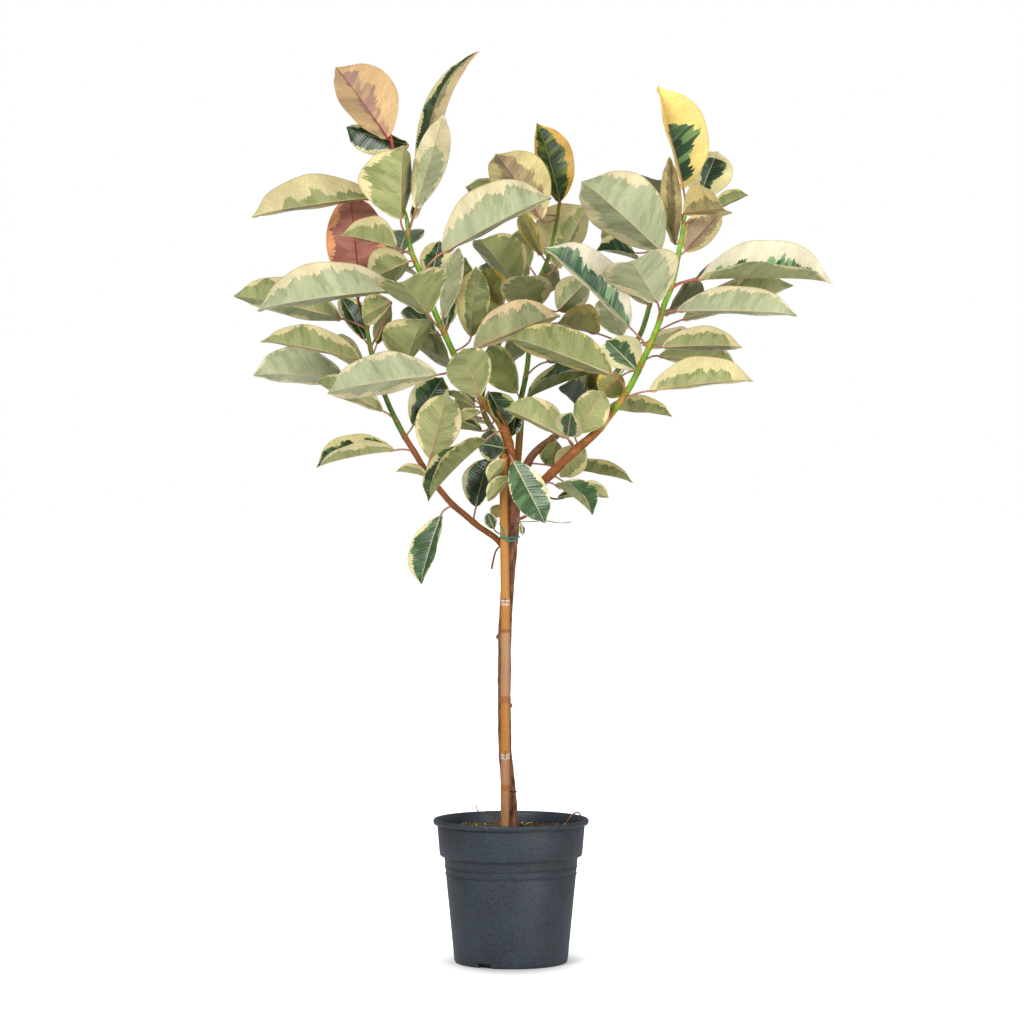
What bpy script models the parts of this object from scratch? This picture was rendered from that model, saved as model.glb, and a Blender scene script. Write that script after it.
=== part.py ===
"""A variegated rubber plant grown as a small tree on one cane, in a plastic nursery pot.

Metres, +Z up. The pot stands on Z = 0 with its axis on the Z axis, and -Y is the front.
"""
import math
from collections import namedtuple

import bmesh
import bpy
from mathutils import Vector

# Front view
# Places of stems and leaves are read off a front view drawn through the pot's axis.
# Its grid runs from the top left corner; one step is GRID, fixed by the pot's 240 mm rim.
GRID = 0.001538
GRID_AXIS_X = 511.0
GRID_GROUND_Y = 963.5
EYE_DISTANCE = 6.5
EYE_HEIGHT = 0.90
CM = 0.01
MM = 0.001

# Gap between pieces that touch, so that no two solids share a face
GAP = 0.3 * MM
WELD = 0.001 * MM

# Pot
POT_SIDES = 36
RIM_RADIUS = 120.0 * MM
RIM_TOP = 222.0 * MM
LIP_DEPTH = 8.0 * MM
COLLAR_TOP_RADIUS = 113.8 * MM
COLLAR_FOOT_RADIUS = 109.8 * MM
COLLAR_FOOT = 165.0 * MM
BODY_TOP_RADIUS = 103.2 * MM
BODY_FOOT_RADIUS = 87.8 * MM
WALL = 2.0 * MM
FLOOR_TOP = 6.5 * MM
FLOOR_UNDERSIDE = 4.0 * MM
CENTRE_PAD_RADIUS = 26.0 * MM
FOOT_RING_RADIUS = 76.0 * MM
NOTCH_WIDTH = 22.0 * MM
NOTCH_HEIGHT = 6.0 * MM
NOTCH_COUNT = 3
NOTCH_TURN = math.radians(-118.0)
DRAIN_RADIUS = 6.0 * MM
DRAIN_RING = 50.0 * MM
DRAIN_COUNT = 4

# Soil
SOIL_TOP = 205.0 * MM
SOIL_RIPPLE = 2.4 * MM
HOLE_DEPTH = 70.0 * MM
HOLE_CLEARANCE = 0.4 * MM

# Blades
BLADE_THICKNESS = 0.9 * MM
BLADE_END = 0.7 * MM
FLAT_END = 0.07
BLADE_ROWS = ((0.085, 4), (0.20, 5), (1.0, 8))
NARROW_BLADE = 4.6
SHALLOW_FOLD = 16
HIDDEN_DEPTH = 6.0
PETIOLE_RADIUS = 1.6 * MM
PETIOLE_OVERLAP = 0.9 * MM
LONG_PETIOLE = 0.03
STUB_LENGTH = 9.0 * MM

UNDER = -1
OVER = 1

# A leaf, all places on the front view's grid and depths and widths in cm. root is where the
# stalk leaves the stem, base and tip are the blade's ends, depth is how far base and tip lie
# behind the pot's axis, and face is the side turned to the front. lean tilts the upper side
# skyward and fold raises each half of the blade, in degrees. arch bows the midrib upwards and
# sway bows it sideways, as shares of the blade's length.
Leaf = namedtuple("Leaf", "root base tip depth width face lean fold arch sway", defaults=(0.02, 0.0))

# Stem points: front view x, y, depth in cm, radius in mm.
TRUNK = (
    (510.5, 872, 0.9, 11.4), (510.5, 829, 0.9, 11.4), (509.6, 800, 0.9, 11.2), (507.0, 775, 0.9, 10.8),
    (504.8, 745, 0.9, 10.4), (504.2, 700, 0.9, 10.3), (504.4, 650, 0.9, 10.4), (505.6, 615, 0.9, 10.4),
    (508.0, 580, 0.9, 10.6), (510.2, 550, 0.9, 11.0), (512.0, 520, 0.9, 11.8), (513.0, 500, 0.9, 12.6),
    (513.0, 486, 0.8, 12.8), (513.0, 478, 0.8, 10.5),
)
TRUNK_BASE = 829
# Where each leafy stem springs from the trunk; the last knot stands on the stem's own line
TRUNK_STUBS = {
    "low_left_stem": ((508, 552, 0.9, 5.0), (504, 546, 0.8, 5.0)),
    "tall_left_stem": ((513, 489, 0.8, 7.5),),
    "middle_stem": ((514, 489, 1.0, 6.5),),
    "back_right_stem": ((514, 494, 1.0, 7.5),),
    "tall_right_stem": ((514, 503, 0.8, 8.5),),
    "back_stem": ((511, 488, 1.2, 6.0),),
}
TRUNK_TWIGS = (
    ((503, 545, 0.5, 1.6), (497, 549, 0.2, 1.5), (494, 557, 0.0, 1.5), (491.5, 569, -0.2, 1.7)),
    ((516, 520, 0.6, 0.9), (524, 522, 0.2, 0.8), (545, 521, -0.4, 0.7), (560, 523, -0.8, 0.7),
     (572, 522, -1.0, 0.6)),
    ((516, 520, 0.6, 2.6), (522, 518, 0.2, 2.4), (527, 515.5, -0.1, 2.2)),
)
TRUNK_KNOTS = ((498.3, 637, 0.9, 4.2), (510.3, 706, 0.9, 3.8))

CANE = (
    (505.0, 866, -1.35, 6.9), (505.0, 829, -1.35, 6.9), (505.2, 757, -1.35, 6.9), (505.2, 754, -1.35, 7.5),
    (505.2, 751, -1.35, 6.9), (505.4, 650, -1.35, 7.0), (505.3, 602, -1.35, 6.9), (505.3, 599, -1.35, 7.5),
    (505.2, 596, -1.35, 6.9), (504.0, 520, -1.35, 6.5), (503.6, 490, -1.35, 6.2), (503.1, 454, -1.35, 6.1),
)

STEMS = {
    "low_left_stem": (
        (497.2, 539.7, 0.5, 4.9), (490, 534, 0.0, 4.9), (478, 526, -0.6, 4.8), (465, 515, -1.3, 4.8),
        (452, 504, -2.0, 4.7), (440, 490, -3.0, 4.6), (427, 473, -4.0, 4.6), (415, 453, -4.6, 4.5),
        (405, 437, -4.6, 4.4), (400, 428, -4.5, 4.4), (392, 412, -4.2, 4.0), (386, 398, -4.0, 3.8),
        (378, 376, -3.8, 3.7), (372, 355, -3.8, 3.6), (369, 340, -3.9, 3.4), (366, 325, -4.0, 3.2),
        (361, 310, -4.2, 2.6), (357, 296, -4.3, 1.6),
    ),
    "tall_left_stem": (
        (511.3, 468.7, 0.3, 7.4), (510.5, 458, 0.0, 7.4), (509, 446, -0.6, 7.6), (505, 432, -1.4, 7.8),
        (499, 420, -2.0, 7.6), (490, 409, -2.6, 6.8), (481, 399, -3.0, 5.6), (470, 382, -3.6, 5.0),
        (460, 366, -4.0, 4.8), (452, 350, -4.4, 4.7), (443, 330, -4.7, 4.6), (436, 315, -4.9, 4.5),
        (429, 295, -5.0, 4.4), (421, 274, -5.0, 4.3), (413, 256, -5.0, 3.9), (409, 240, -4.8, 3.5),
        (407, 220, -4.4, 3.2), (402, 205, -3.8, 3.1), (398, 185, -3.4, 2.9), (395, 165, -3.2, 2.8),
        (393, 148, -3.2, 2.6), (391, 134, -3.0, 0.9),
    ),
    "middle_stem": (
        (517.0, 465.6, 2.3, 5.8), (518.5, 450, 2.8, 5.6), (520, 430, 3.2, 5.4), (521, 415, 3.3, 5.0),
        (521, 400, 3.3, 4.4), (525, 380, 3.2, 4.0), (528, 360, 3.2, 3.9), (529, 340, 3.2, 3.7),
        (530, 320, 3.2, 3.6), (534, 300, 3.4, 3.4), (540, 282, 3.8, 3.3), (546, 266, 4.2, 3.1),
        (551, 248, 4.4, 2.9), (555, 230, 4.4, 2.8), (558, 213, 4.2, 2.6), (559, 197, 4.0, 1.1),
    ),
    "back_right_stem": (
        (526.2, 466.6, 2.4, 6.4), (532, 456, 3.2, 6.2), (541, 447, 4.4, 6.0), (552, 439, 5.6, 5.8),
        (566, 427, 7.0, 5.4), (583, 412, 8.4, 5.0), (600, 395, 9.6, 4.7), (618, 370, 10.6, 4.4),
        (632, 349, 11.2, 4.2), (642, 330, 11.6, 4.0), (650, 303, 12.0, 3.8), (655, 280, 12.0, 3.5),
        (656, 258, 12.0, 3.3), (652, 236, 12.0, 3.0), (646, 214, 11.8, 2.6), (642, 198, 11.6, 1.2),
    ),
    "tall_right_stem": (
        (531.3, 491.8, -0.7, 7.2), (540, 484, -1.4, 7.2), (550, 475, -2.0, 7.2), (565, 460, -2.6, 7.0),
        (578, 448, -3.2, 6.8), (590, 438, -3.6, 6.4), (600, 428, -4.0, 6.0), (610, 415, -4.3, 5.4),
        (618, 405, -4.6, 5.2), (628, 390, -5.0, 5.0), (636, 375, -5.3, 4.9), (643, 360, -5.6, 4.8),
        (650, 345, -5.8, 4.7), (658, 325, -6.0, 4.5), (664, 305, -6.0, 4.4), (670, 290, -6.0, 4.3),
        (675, 272, -6.0, 4.2), (678, 255, -5.9, 4.0), (681, 240, -5.7, 3.7), (683, 225, -5.5, 3.4),
        (685, 212, -5.2, 3.0), (686, 198, -5.0, 1.2),
    ),
    "back_stem": (
        (506.0, 461.7, 2.8, 5.2), (503, 448, 4.0, 5.0), (494, 432, 5.4, 4.8), (486, 418, 6.8, 4.4),
        (482, 404, 8.0, 4.2), (484, 385, 9.2, 4.0), (492, 360, 10.4, 3.8), (505, 332, 11.4, 3.6),
        (522, 304, 12.0, 3.5), (538, 280, 12.4, 3.4), (548, 258, 12.6, 3.0), (552, 240, 12.6, 1.2),
    ),
}

LEAVES = {
    "low_left_stem": (
        Leaf((454, 505), (441, 515), (420, 584), (-3.2, -6.0), 7.0, OVER, 50, 24),
        Leaf((474, 521), (476, 507), (489, 457), (-1.0, 1.5), 6.4, OVER, 35, 20),
        Leaf((431, 478), (427, 476), (396, 471), (-4.6, -6.0), 3.4, UNDER, 60, 35),
        Leaf((426, 472), (430, 459), (447, 393), (-4.8, -6.4), 7.6, UNDER, 5, 25),
        Leaf((405, 437), (413, 426), (443, 377), (-3.4, -0.5), 6.0, OVER, 10, 20),
        Leaf((414, 451), (396, 450), (316, 466), (-5.6, -9.0), 7.8, OVER, 75, 50, 0.03),
        Leaf((397, 422), (383, 411), (316, 380), (-4.4, -4.0), 6.0, UNDER, 50, 20),
        Leaf((375, 366), (360, 360), (261, 340), (-7.0, -11.5), 8.0, UNDER, 57, 28),
        Leaf((379, 378), (345, 378), (254, 374), (-3.2, -1.0), 9.5, UNDER, 47, 27),
        Leaf((367, 329), (342, 319), (235, 295), (-3.0, 1.0), 8.6, UNDER, 42, 28),
        Leaf((371, 348), (391, 302), (362, 318), (-6.5, -11.0), 5.0, UNDER, 30, 20),
        Leaf((370, 347), (365, 340), (341, 297), (-2.0, 1.5), 5.0, OVER, 30, 30),
        Leaf((372, 357), (377, 344), (391, 305), (-3.6, -1.5), 3.6, UNDER, 10, 50),
        Leaf((358, 300), (360, 289), (350, 192), (-4.3, 2.0), 9.6, UNDER, 5, 15),
        Leaf((382, 388), (405, 365), (423, 318), (-4.0, -8.0), 10.0, UNDER, 40, 32),
        Leaf((376, 369), (366, 366), (330, 352), (-2.0, 9.0), 7.5, UNDER, 50, 20),
    ),
    "tall_left_stem": (
        Leaf((392, 142), (388, 139), (337, 68), (-3.0, -5.0), 11.2, UNDER, 29, 32),
        Leaf((396, 162), (408, 145), (346, 129), (0.5, 3.5), 6.0, OVER, -30, 42),
        Leaf((409, 238), (401, 220), (403, 146), (-5.6, -7.5), 13.0, UNDER, 36, 44),
        Leaf((408, 232), (412, 221), (479, 53), (-3.8, -2.0), 6.6, UNDER, 0, 62, 0.02, 0.115),
        Leaf((409, 236), (416, 209), (444, 116), (-5.4, -6.2), 8.4, UNDER, 0, 58),
        Leaf((405, 196), (374, 198), (252, 216), (-2.6, -6.5), 9.5, UNDER, 52, 36),
        Leaf((412, 258), (396, 248), (341, 235), (-7.0, -13.0), 8.0, UNDER, 55, 36),
        Leaf((411, 250), (400, 253), (408, 230), (-2.5, 6.5), 6.8, OVER, 20, 15),
        Leaf((414, 261), (409, 262), (368, 281), (-5.8, -7.0), 8.0, UNDER, 40, 20),
        Leaf((431, 302), (395, 290), (257, 309), (-8.4, -14.0), 11.5, UNDER, 53, 33),
        Leaf((445, 336), (427, 314), (400, 281), (-7.5, -19.0), 12.0, UNDER, 30, 30),
        Leaf((461, 368), (437, 375), (327, 392), (-8.0, -14.0), 10.0, UNDER, 47, 21),
        Leaf((456, 358), (450, 361), (415, 345), (-3.0, 5.0), 8.0, UNDER, 50, 20),
        Leaf((444, 332), (436, 334), (403, 308), (-1.6, 5.0), 4.0, OVER, 20, 35),
        Leaf((484, 402), (479, 397), (463, 348), (-5.2, -13.0), 7.2, UNDER, -6, 12),
        Leaf((484, 403), (489, 392), (506, 427), (-1.2, -2.0), 6.4, OVER, 47, 23),
        Leaf((484, 403), (476, 407), (443, 393), (-2.2, -1.0), 2.6, UNDER, 60, 30),
        Leaf((488, 407), (481, 412), (456, 426), (-3.0, -3.4), 3.8, UNDER, 60, 30),
        Leaf((496, 416), (482, 431), (450, 428), (0.2, 1.2), 4.5, OVER, 75, 50),
        Leaf((507, 444), (504, 448), (477, 443), (-1.8, -3.6), 5.0, OVER, 10, 10),
        Leaf((504, 430), (486, 440), (427, 500), (-5.0, -11.5), 8.0, OVER, 80, 52, 0.03),
        Leaf((511, 467), (510.5, 478), (487, 501), (-2.9, -5.0), 4.0, UNDER, 50, 25),
        Leaf((510, 457), (505, 460), (488, 481), (-3.6, -5.0), 3.0, UNDER, 30, 25),
        Leaf((510, 452), (513, 461), (545, 523), (-4.4, -8.0), 5.6, OVER, 5, 8),
        Leaf((443, 331), (443, 318), (459, 248), (-5.8, -8.0), 6.0, UNDER, 0, 64),
        Leaf((444, 333), (446, 327), (453, 299), (-3.6, -2.6), 2.6, OVER, 10, 15),
        Leaf((445, 334), (456, 303), (465, 258), (-2.0, 1.0), 5.5, UNDER, 15, 20),
        Leaf((426, 287), (431, 281), (440, 241), (-3.6, -2.0), 4.8, OVER, 10, 15),
        Leaf((422, 276), (443, 253), (551, 196), (-6.6, -13.0), 12.4, UNDER, 49, 39),
        Leaf((453, 352), (471, 337), (476, 267), (-3.6, -3.0), 5.2, UNDER, 5, 10),
        Leaf((456, 358), (474, 349), (560, 314), (-6.4, -11.0), 9.6, UNDER, 50, 30),
        Leaf((416, 262), (410, 268), (385, 262), (-1.0, 9.0), 7.0, UNDER, 55, 20),
    ),
    "middle_stem": (
        Leaf((521, 402), (517, 393), (488, 346), (1.5, -2.5), 6.0, UNDER, -15, 25),
        Leaf((521, 407), (517, 410), (512, 436), (1.0, 0.0), 2.6, OVER, 10, 10),
        Leaf((534, 300), (500, 305), (484, 268), (1.4, 0.4), 5.0, UNDER, 20, 20),
        Leaf((541, 282), (508, 276), (486, 262), (5.0, 9.0), 6.0, OVER, 30, 20),
        Leaf((538, 290), (517, 286), (479, 239), (2.0, -5.0), 9.5, UNDER, 38, 35),
        Leaf((531, 322), (527, 314), (526, 275), (0.0, -8.5), 8.2, UNDER, 0, 14),
        Leaf((543, 276), (556, 268), (588, 206), (5.4, 6.6), 12.0, UNDER, 36, 38),
        Leaf((547, 262), (542, 256), (520, 213), (2.2, 0.0), 5.0, UNDER, 0, 60),
        Leaf((535, 300), (558, 311), (588, 280), (1.0, 2.0), 6.0, UNDER, 20, 20),
        Leaf((522, 401), (526, 398), (594, 372), (0.6, -2.5), 6.8, OVER, 72, 50),
        Leaf((526, 378), (547, 362), (585, 356), (0.4, -3.0), 6.0, UNDER, 50, 20),
        Leaf((557, 216), (512, 207), (466, 187), (4.2, 3.0), 5.6, UNDER, 40, 25),
        Leaf((557, 218), (541, 220), (496, 154), (1.0, -4.5), 10.4, UNDER, 25, 30),
        Leaf((558, 210), (560, 203), (538, 124), (3.4, 1.6), 7.8, OVER, 35, 25),
    ),
    "back_right_stem": (
        Leaf((528, 463), (560, 467), (633, 481), (2.4, 2.0), 5.2, UNDER, 60, 30),
        Leaf((553, 439), (556, 441), (552, 468), (4.6, 2.5), 4.4, UNDER, 10, 15),
        Leaf((602, 392), (592, 370), (597, 393), (2.0, 1.0), 3.4, UNDER, 10, 20),
        Leaf((583, 412), (580, 410), (560, 388), (7.4, -1.0), 8.0, OVER, 50, 40),
        Leaf((632, 349), (598, 334), (556, 322), (5.0, -4.0), 8.0, UNDER, 50, 32),
        Leaf((635, 344), (622, 336), (603, 296), (6.4, 3.0), 5.6, UNDER, 10, 15),
        Leaf((656, 268), (637, 259), (597, 250), (8.0, 3.0), 6.0, OVER, 60, 40),
        Leaf((655, 250), (628, 250), (602, 229), (10.0, 9.0), 5.0, UNDER, 30, 20),
        Leaf((566, 427), (574, 424), (590, 404), (9.0, 18.0), 6.5, UNDER, 60, 20),
        Leaf((600, 395), (594, 388), (570, 362), (11.0, 20.0), 8.0, UNDER, 55, 20),
        Leaf((634, 346), (644, 343), (690, 348), (13.5, 19.0), 8.0, UNDER, 60, 20),
        Leaf((650, 305), (643, 298), (612, 284), (14.0, 23.0), 8.5, UNDER, 60, 20),
        Leaf((652, 236), (645, 228), (612, 205), (13.5, 19.0), 7.5, UNDER, 50, 20),
        Leaf((646, 212), (640, 204), (655, 179), (10.0, 3.0), 6.5, UNDER, 20, 20),
        Leaf((617, 371), (626, 366), (640, 352), (12.5, 21.0), 6.5, UNDER, 60, 20),
    ),
    "tall_right_stem": (
        Leaf((541, 484), (555, 485), (593, 514), (-3.4, -6.0), 7.4, OVER, 70, 45, 0.04),
        Leaf((552, 474), (576, 487), (609, 497), (-1.0, -1.6), 3.8, UNDER, 50, 25),
        Leaf((538, 487), (557, 499), (582, 496), (-0.6, -1.4), 3.0, OVER, 70, 40),
        Leaf((580, 447), (576, 433), (604, 391), (-4.6, -7.5), 5.6, UNDER, -10, 10),
        Leaf((576, 450), (568, 436), (571, 413), (-6.0, -11.5), 4.6, OVER, 20, 10),
        Leaf((575, 450), (566, 438), (504, 408), (-5.6, -9.5), 7.6, UNDER, 47, 37),
        Leaf((584, 443), (584, 447), (560, 477), (-1.0, -0.4), 5.5, UNDER, 20, 15),
        Leaf((638, 371), (622, 376), (600, 395), (-3.0, -1.5), 5.0, UNDER, 10, 15),
        Leaf((626, 393), (612, 375), (508, 336), (-7.6, -14.0), 9.4, UNDER, 48, 24),
        Leaf((641, 365), (636, 370), (606, 340), (-3.2, 0.4), 7.0, OVER, 25, 15),
        Leaf((649, 348), (630, 328), (546, 247), (-7.6, -11.5), 10.4, OVER, 48, 38),
        Leaf((660, 320), (657, 303), (630, 260), (-8.0, -19.0), 12.6, UNDER, 22, 24),
        Leaf((671, 288), (660, 251), (582, 181), (-6.6, -11.0), 13.2, UNDER, 34, 24),
        Leaf((685, 211), (683, 190), (659, 87), (-6.0, -7.5), 11.6, OVER, 43, 43, 0.02, -0.03),
        Leaf((681, 243), (674, 244), (669, 158), (-4.4, -3.6), 6.0, UNDER, 0, 62),
        Leaf((685, 213), (698, 200), (717, 152), (-3.4, -1.0), 8.0, OVER, 10, 20),
        Leaf((684, 226), (684, 214), (725, 209), (-7.4, -14.0), 8.6, UNDER, 50, 30),
        Leaf((684, 225), (712, 211), (747, 195), (-4.2, -3.4), 3.8, UNDER, 50, 35),
        Leaf((678, 257), (684, 252), (722, 212), (-5.6, -5.0), 5.8, UNDER, 20, 30),
        Leaf((671, 290), (697, 280), (832, 281), (-7.6, -11.0), 13.0, OVER, 66, 46, 0.02),
        Leaf((655, 334), (682, 320), (792, 284), (-2.4, -1.0), 7.0, UNDER, 45, 25),
        Leaf((662, 314), (676, 311), (797, 314), (-6.6, -9.0), 8.5, UNDER, 55, 30),
        Leaf((652, 342), (662, 347), (742, 346), (-7.4, -11.0), 6.6, UNDER, 50, 25),
        Leaf((642, 364), (658, 356), (737, 366), (-3.4, -2.4), 6.5, UNDER, 50, 25),
        Leaf((622, 400), (649, 391), (753, 379), (-7.2, -11.0), 9.0, UNDER, 53, 33),
        Leaf((601, 427), (606, 409), (672, 415), (-2.0, -2.6), 5.6, UNDER, 58, 30),
        Leaf((660, 318), (668, 310), (705, 296), (-3.0, 6.0), 7.5, UNDER, 55, 20),
        Leaf((672, 286), (694, 279), (758, 264), (-3.0, 5.0), 6.0, UNDER, 60, 20),
    ),
    "back_stem": (
        Leaf((482, 405), (475, 400), (452, 372), (9.4, 17.0), 8.0, UNDER, 50, 20),
        Leaf((486, 419), (478, 417), (455, 410), (8.0, 15.0), 7.5, UNDER, 55, 20),
        Leaf((488, 372), (500, 366), (524, 352), (11.0, 20.0), 8.0, UNDER, 55, 20),
        Leaf((504, 334), (498, 322), (478, 290), (12.0, 20.0), 8.5, UNDER, 45, 20),
        Leaf((522, 304), (530, 297), (560, 285), (13.0, 22.0), 8.5, UNDER, 55, 20),
        Leaf((538, 280), (530, 268), (506, 240), (13.0, 20.0), 8.0, UNDER, 45, 20),
        Leaf((549, 254), (554, 244), (566, 214), (13.0, 18.0), 8.0, UNDER, 40, 20),
    ),
}

# Small leaves that sprout straight from the trunk
TRUNK_LEAVES = (
    Leaf((510, 536), (494, 529), (487, 513), (0.3, -0.2), 2.0, OVER, 5, 8),
    Leaf((512, 520), (501, 505), (493, 517), (0.6, 0.4), 2.2, UNDER, 5, 10),
    Leaf((513, 524), (521, 524), (523, 535), (0.6, 0.2), 1.0, OVER, 5, 10),
)

# Things that lie on or stand in the soil
ROOT_LOOP = (
    (565.5, 838, 1.6, 1.1), (565.8, 828, 1.6, 1.1), (568, 821, 1.7, 1.1), (571.5, 816.5, 1.8, 1.1),
    (576, 813.5, 1.9, 1.1), (579.5, 814, 2.0, 1.1), (581, 818, 2.1, 1.0), (580, 824, 2.2, 1.0),
    (577.5, 829, 2.2, 1.0), (577, 838, 2.2, 1.0),
)
DRY_TWIG = (
    (498.5, 838, 3.4, 0.8), (498.5, 824, 3.4, 0.8), (494, 817, 3.6, 0.8), (486, 813.5, 3.8, 0.8),
    (478, 812, 4.0, 0.8), (476.5, 806, 4.0, 0.8),
)

# Ties
TIE_RADIUS = 1.1 * MM
TIE_HEIGHT_Y = 537.5
TIE_TAIL = ((504.3, 538.0, -2.2, 1.1), (503.4, 534.5, -2.35, 1.1), (501.6, 528, -2.5, 1.0),
            (498.8, 522.5, -2.6, 0.8))
TIE_LOOP_EYE = ((504.3, 537.0, -2.2, 1.1), (507.5, 540.5, -2.35, 1.1), (512, 541, -2.1, 1.0),
                (517, 539.5, -1.6, 0.9))
STRING_RADIUS = 0.7 * MM
STRING_HEIGHT_Y = 791.5


def place(x, y, depth):
    """A point of the front view, carried along the sight line to its depth in cm."""
    flat = Vector(((x - GRID_AXIS_X) * GRID, 0.0, (GRID_GROUND_Y - y) * GRID))
    eye = Vector((0.0, -EYE_DISTANCE, EYE_HEIGHT))
    return eye + (flat - eye) * (EYE_DISTANCE + depth * CM) / EYE_DISTANCE


def clear_scene():
    for item in list(bpy.data.objects):
        bpy.data.objects.remove(item, do_unlink=True)
    for group in list(bpy.data.collections):
        bpy.data.collections.remove(group)


def new_collection(name):
    group = bpy.data.collections.new(name)
    bpy.context.scene.collection.children.link(group)
    return group


def new_material(name, hex_colour, roughness):
    channels = [int(hex_colour[i:i + 2], 16) / 255.0 for i in (0, 2, 4)]
    linear = [c / 12.92 if c <= 0.04045 else ((c + 0.055) / 1.055) ** 2.4 for c in channels]
    material = bpy.data.materials.new(name)
    material.use_nodes = True
    shader = material.node_tree.nodes["Principled BSDF"]
    shader.inputs["Base Color"].default_value = (*linear, 1.0)
    shader.inputs["Roughness"].default_value = roughness
    shader.inputs["Metallic"].default_value = 0.0
    return material


def mesh_object(name, mesh, group):
    item = bpy.data.objects.new(name, mesh)
    group.objects.link(item)
    return item


def as_mesh(item, group):
    """The evaluated mesh of an object, welded, in world place, in the object's stead."""
    bpy.context.view_layer.update()
    evaluated = item.evaluated_get(bpy.context.evaluated_depsgraph_get())
    mesh = bpy.data.meshes.new_from_object(evaluated)
    mesh.transform(item.matrix_world)
    name = item.name
    bpy.data.objects.remove(item, do_unlink=True)
    shape = bmesh.new()
    shape.from_mesh(mesh)
    bmesh.ops.remove_doubles(shape, verts=shape.verts, dist=WELD)
    bmesh.ops.recalc_face_normals(shape, faces=shape.faces)
    shape.to_mesh(mesh)
    shape.free()
    mesh.name = name
    return mesh_object(name, mesh, group)


def tube(name, points, radii, sides, group, closed=False):
    """A tapering tube with filled ends, along points in metres."""
    curve = bpy.data.curves.new(name, "CURVE")
    curve.dimensions = "3D"
    curve.bevel_depth = 1.0
    curve.bevel_resolution = (sides - 4) // 2
    curve.use_fill_caps = not closed
    spline = curve.splines.new("POLY")
    spline.points.add(len(points) - 1)
    spline.use_cyclic_u = closed
    for knot, point, radius in zip(spline.points, points, radii):
        knot.co = (*point, 1.0)
        knot.radius = radius
    return as_mesh(mesh_object(name, curve, group), group)


def grid_tube(name, knots, sides, group):
    points = [place(x, y, depth) for x, y, depth, _ in knots]
    return tube(name, points, [radius * MM for *_, radius in knots], sides, group)


def turned(name, profile, sides, group):
    """A ring turned from a closed profile of (radius, height) points, outer side downwards."""
    mesh = bpy.data.meshes.new(name)
    shape = bmesh.new()
    knots = [shape.verts.new((radius, 0.0, height)) for radius, height in profile]
    for first, second in zip(knots, knots[1:]):
        shape.edges.new((first, second))
    if profile[0][0] > 0.0:
        shape.edges.new((knots[-1], knots[0]))
    shape.to_mesh(mesh)
    shape.free()
    item = mesh_object(name, mesh, group)
    screw = item.modifiers.new("Turn", "SCREW")
    screw.steps = sides
    screw.render_steps = sides
    screw.use_merge_vertices = True
    screw.merge_threshold = 1e-5
    return as_mesh(item, group)


def cylinder(name, centre, radius, depth, sides, group):
    mesh = bpy.data.meshes.new(name)
    shape = bmesh.new()
    bmesh.ops.create_cone(shape, cap_ends=True, segments=sides, radius1=radius, radius2=radius, depth=depth)
    bmesh.ops.translate(shape, verts=shape.verts, vec=centre)
    shape.to_mesh(mesh)
    shape.free()
    return mesh_object(name, mesh, group)


def boolean(item, operation, operand_group, group, solver="EXACT"):
    """Applies one Boolean with every object of a collection, then removes them."""
    cut = item.modifiers.new("Combine", "BOOLEAN")
    cut.operation = operation
    cut.operand_type = "COLLECTION"
    cut.collection = operand_group
    cut.solver = solver
    result = as_mesh(item, group)
    for operand in list(operand_group.objects):
        bpy.data.objects.remove(operand, do_unlink=True)
    bpy.data.collections.remove(operand_group)
    return result


def work_collection(name):
    group = new_collection(name)
    group.hide_render = True
    return group


def outline(u):
    """Half width of a blade at u, as a share of its greatest: blunt base, short drawn-out tip."""
    body = math.sin(math.pi * min(max(u, 0.0), 1.0) ** 1.06) ** 0.62
    step = min(max((u - 0.86) / 0.14, 0.0), 1.0)
    return body * (1.0 - 0.55 * step * step * (3.0 - 2.0 * step))


def blade_frame(leaf):
    """Base, tip, length, the direction of the upper half and of the upper face."""
    base = place(*leaf.base, leaf.depth[0])
    tip = place(*leaf.tip, leaf.depth[1])
    along = (tip - base).normalized()
    sight = Vector((0.0, 1.0, 0.0))
    side = along.cross(sight).normalized()
    if side.z < 0.0:
        side = -side
    away = (sight - along * sight.dot(along)).normalized()
    facing = away * -leaf.face
    lean = math.radians(leaf.lean)
    up = facing * math.cos(lean) + side * math.sin(lean)
    across = side * math.cos(lean) - facing * math.sin(lean)
    return base, tip, (tip - base).length, across, up


def blade_point(leaf, frame, u, v):
    """A point of the blade's middle surface: u runs base to tip, v from -1 to 1 across."""
    base, tip, length, across, up = frame
    half = max(0.5 * leaf.width * CM * outline(u), BLADE_END)
    bow = 4.0 * u * (1.0 - u)
    droop = max(u - 0.78, 0.0) / 0.22
    phase = leaf.base[0] * 0.37 + leaf.tip[1] * 0.23
    ripple = 0.035 * math.sin(2.0 * math.pi * 2.1 * u + phase + 1.9 * (v > 0.0)) * v * v
    flat_end = min(1.0, u / FLAT_END, (1.0 - u) / FLAT_END)
    fold = math.radians(leaf.fold) * (1.08 - 0.16 * abs(v)) * flat_end
    spine = base + (tip - base) * u + up * length * (leaf.arch * bow - 0.02 * droop * droop)
    spine += across * length * leaf.sway * 6.75 * u * u * (1.0 - u)
    return spine + across * (half * v * math.cos(fold)) + up * half * (abs(v) * math.sin(fold) + ripple)


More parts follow.
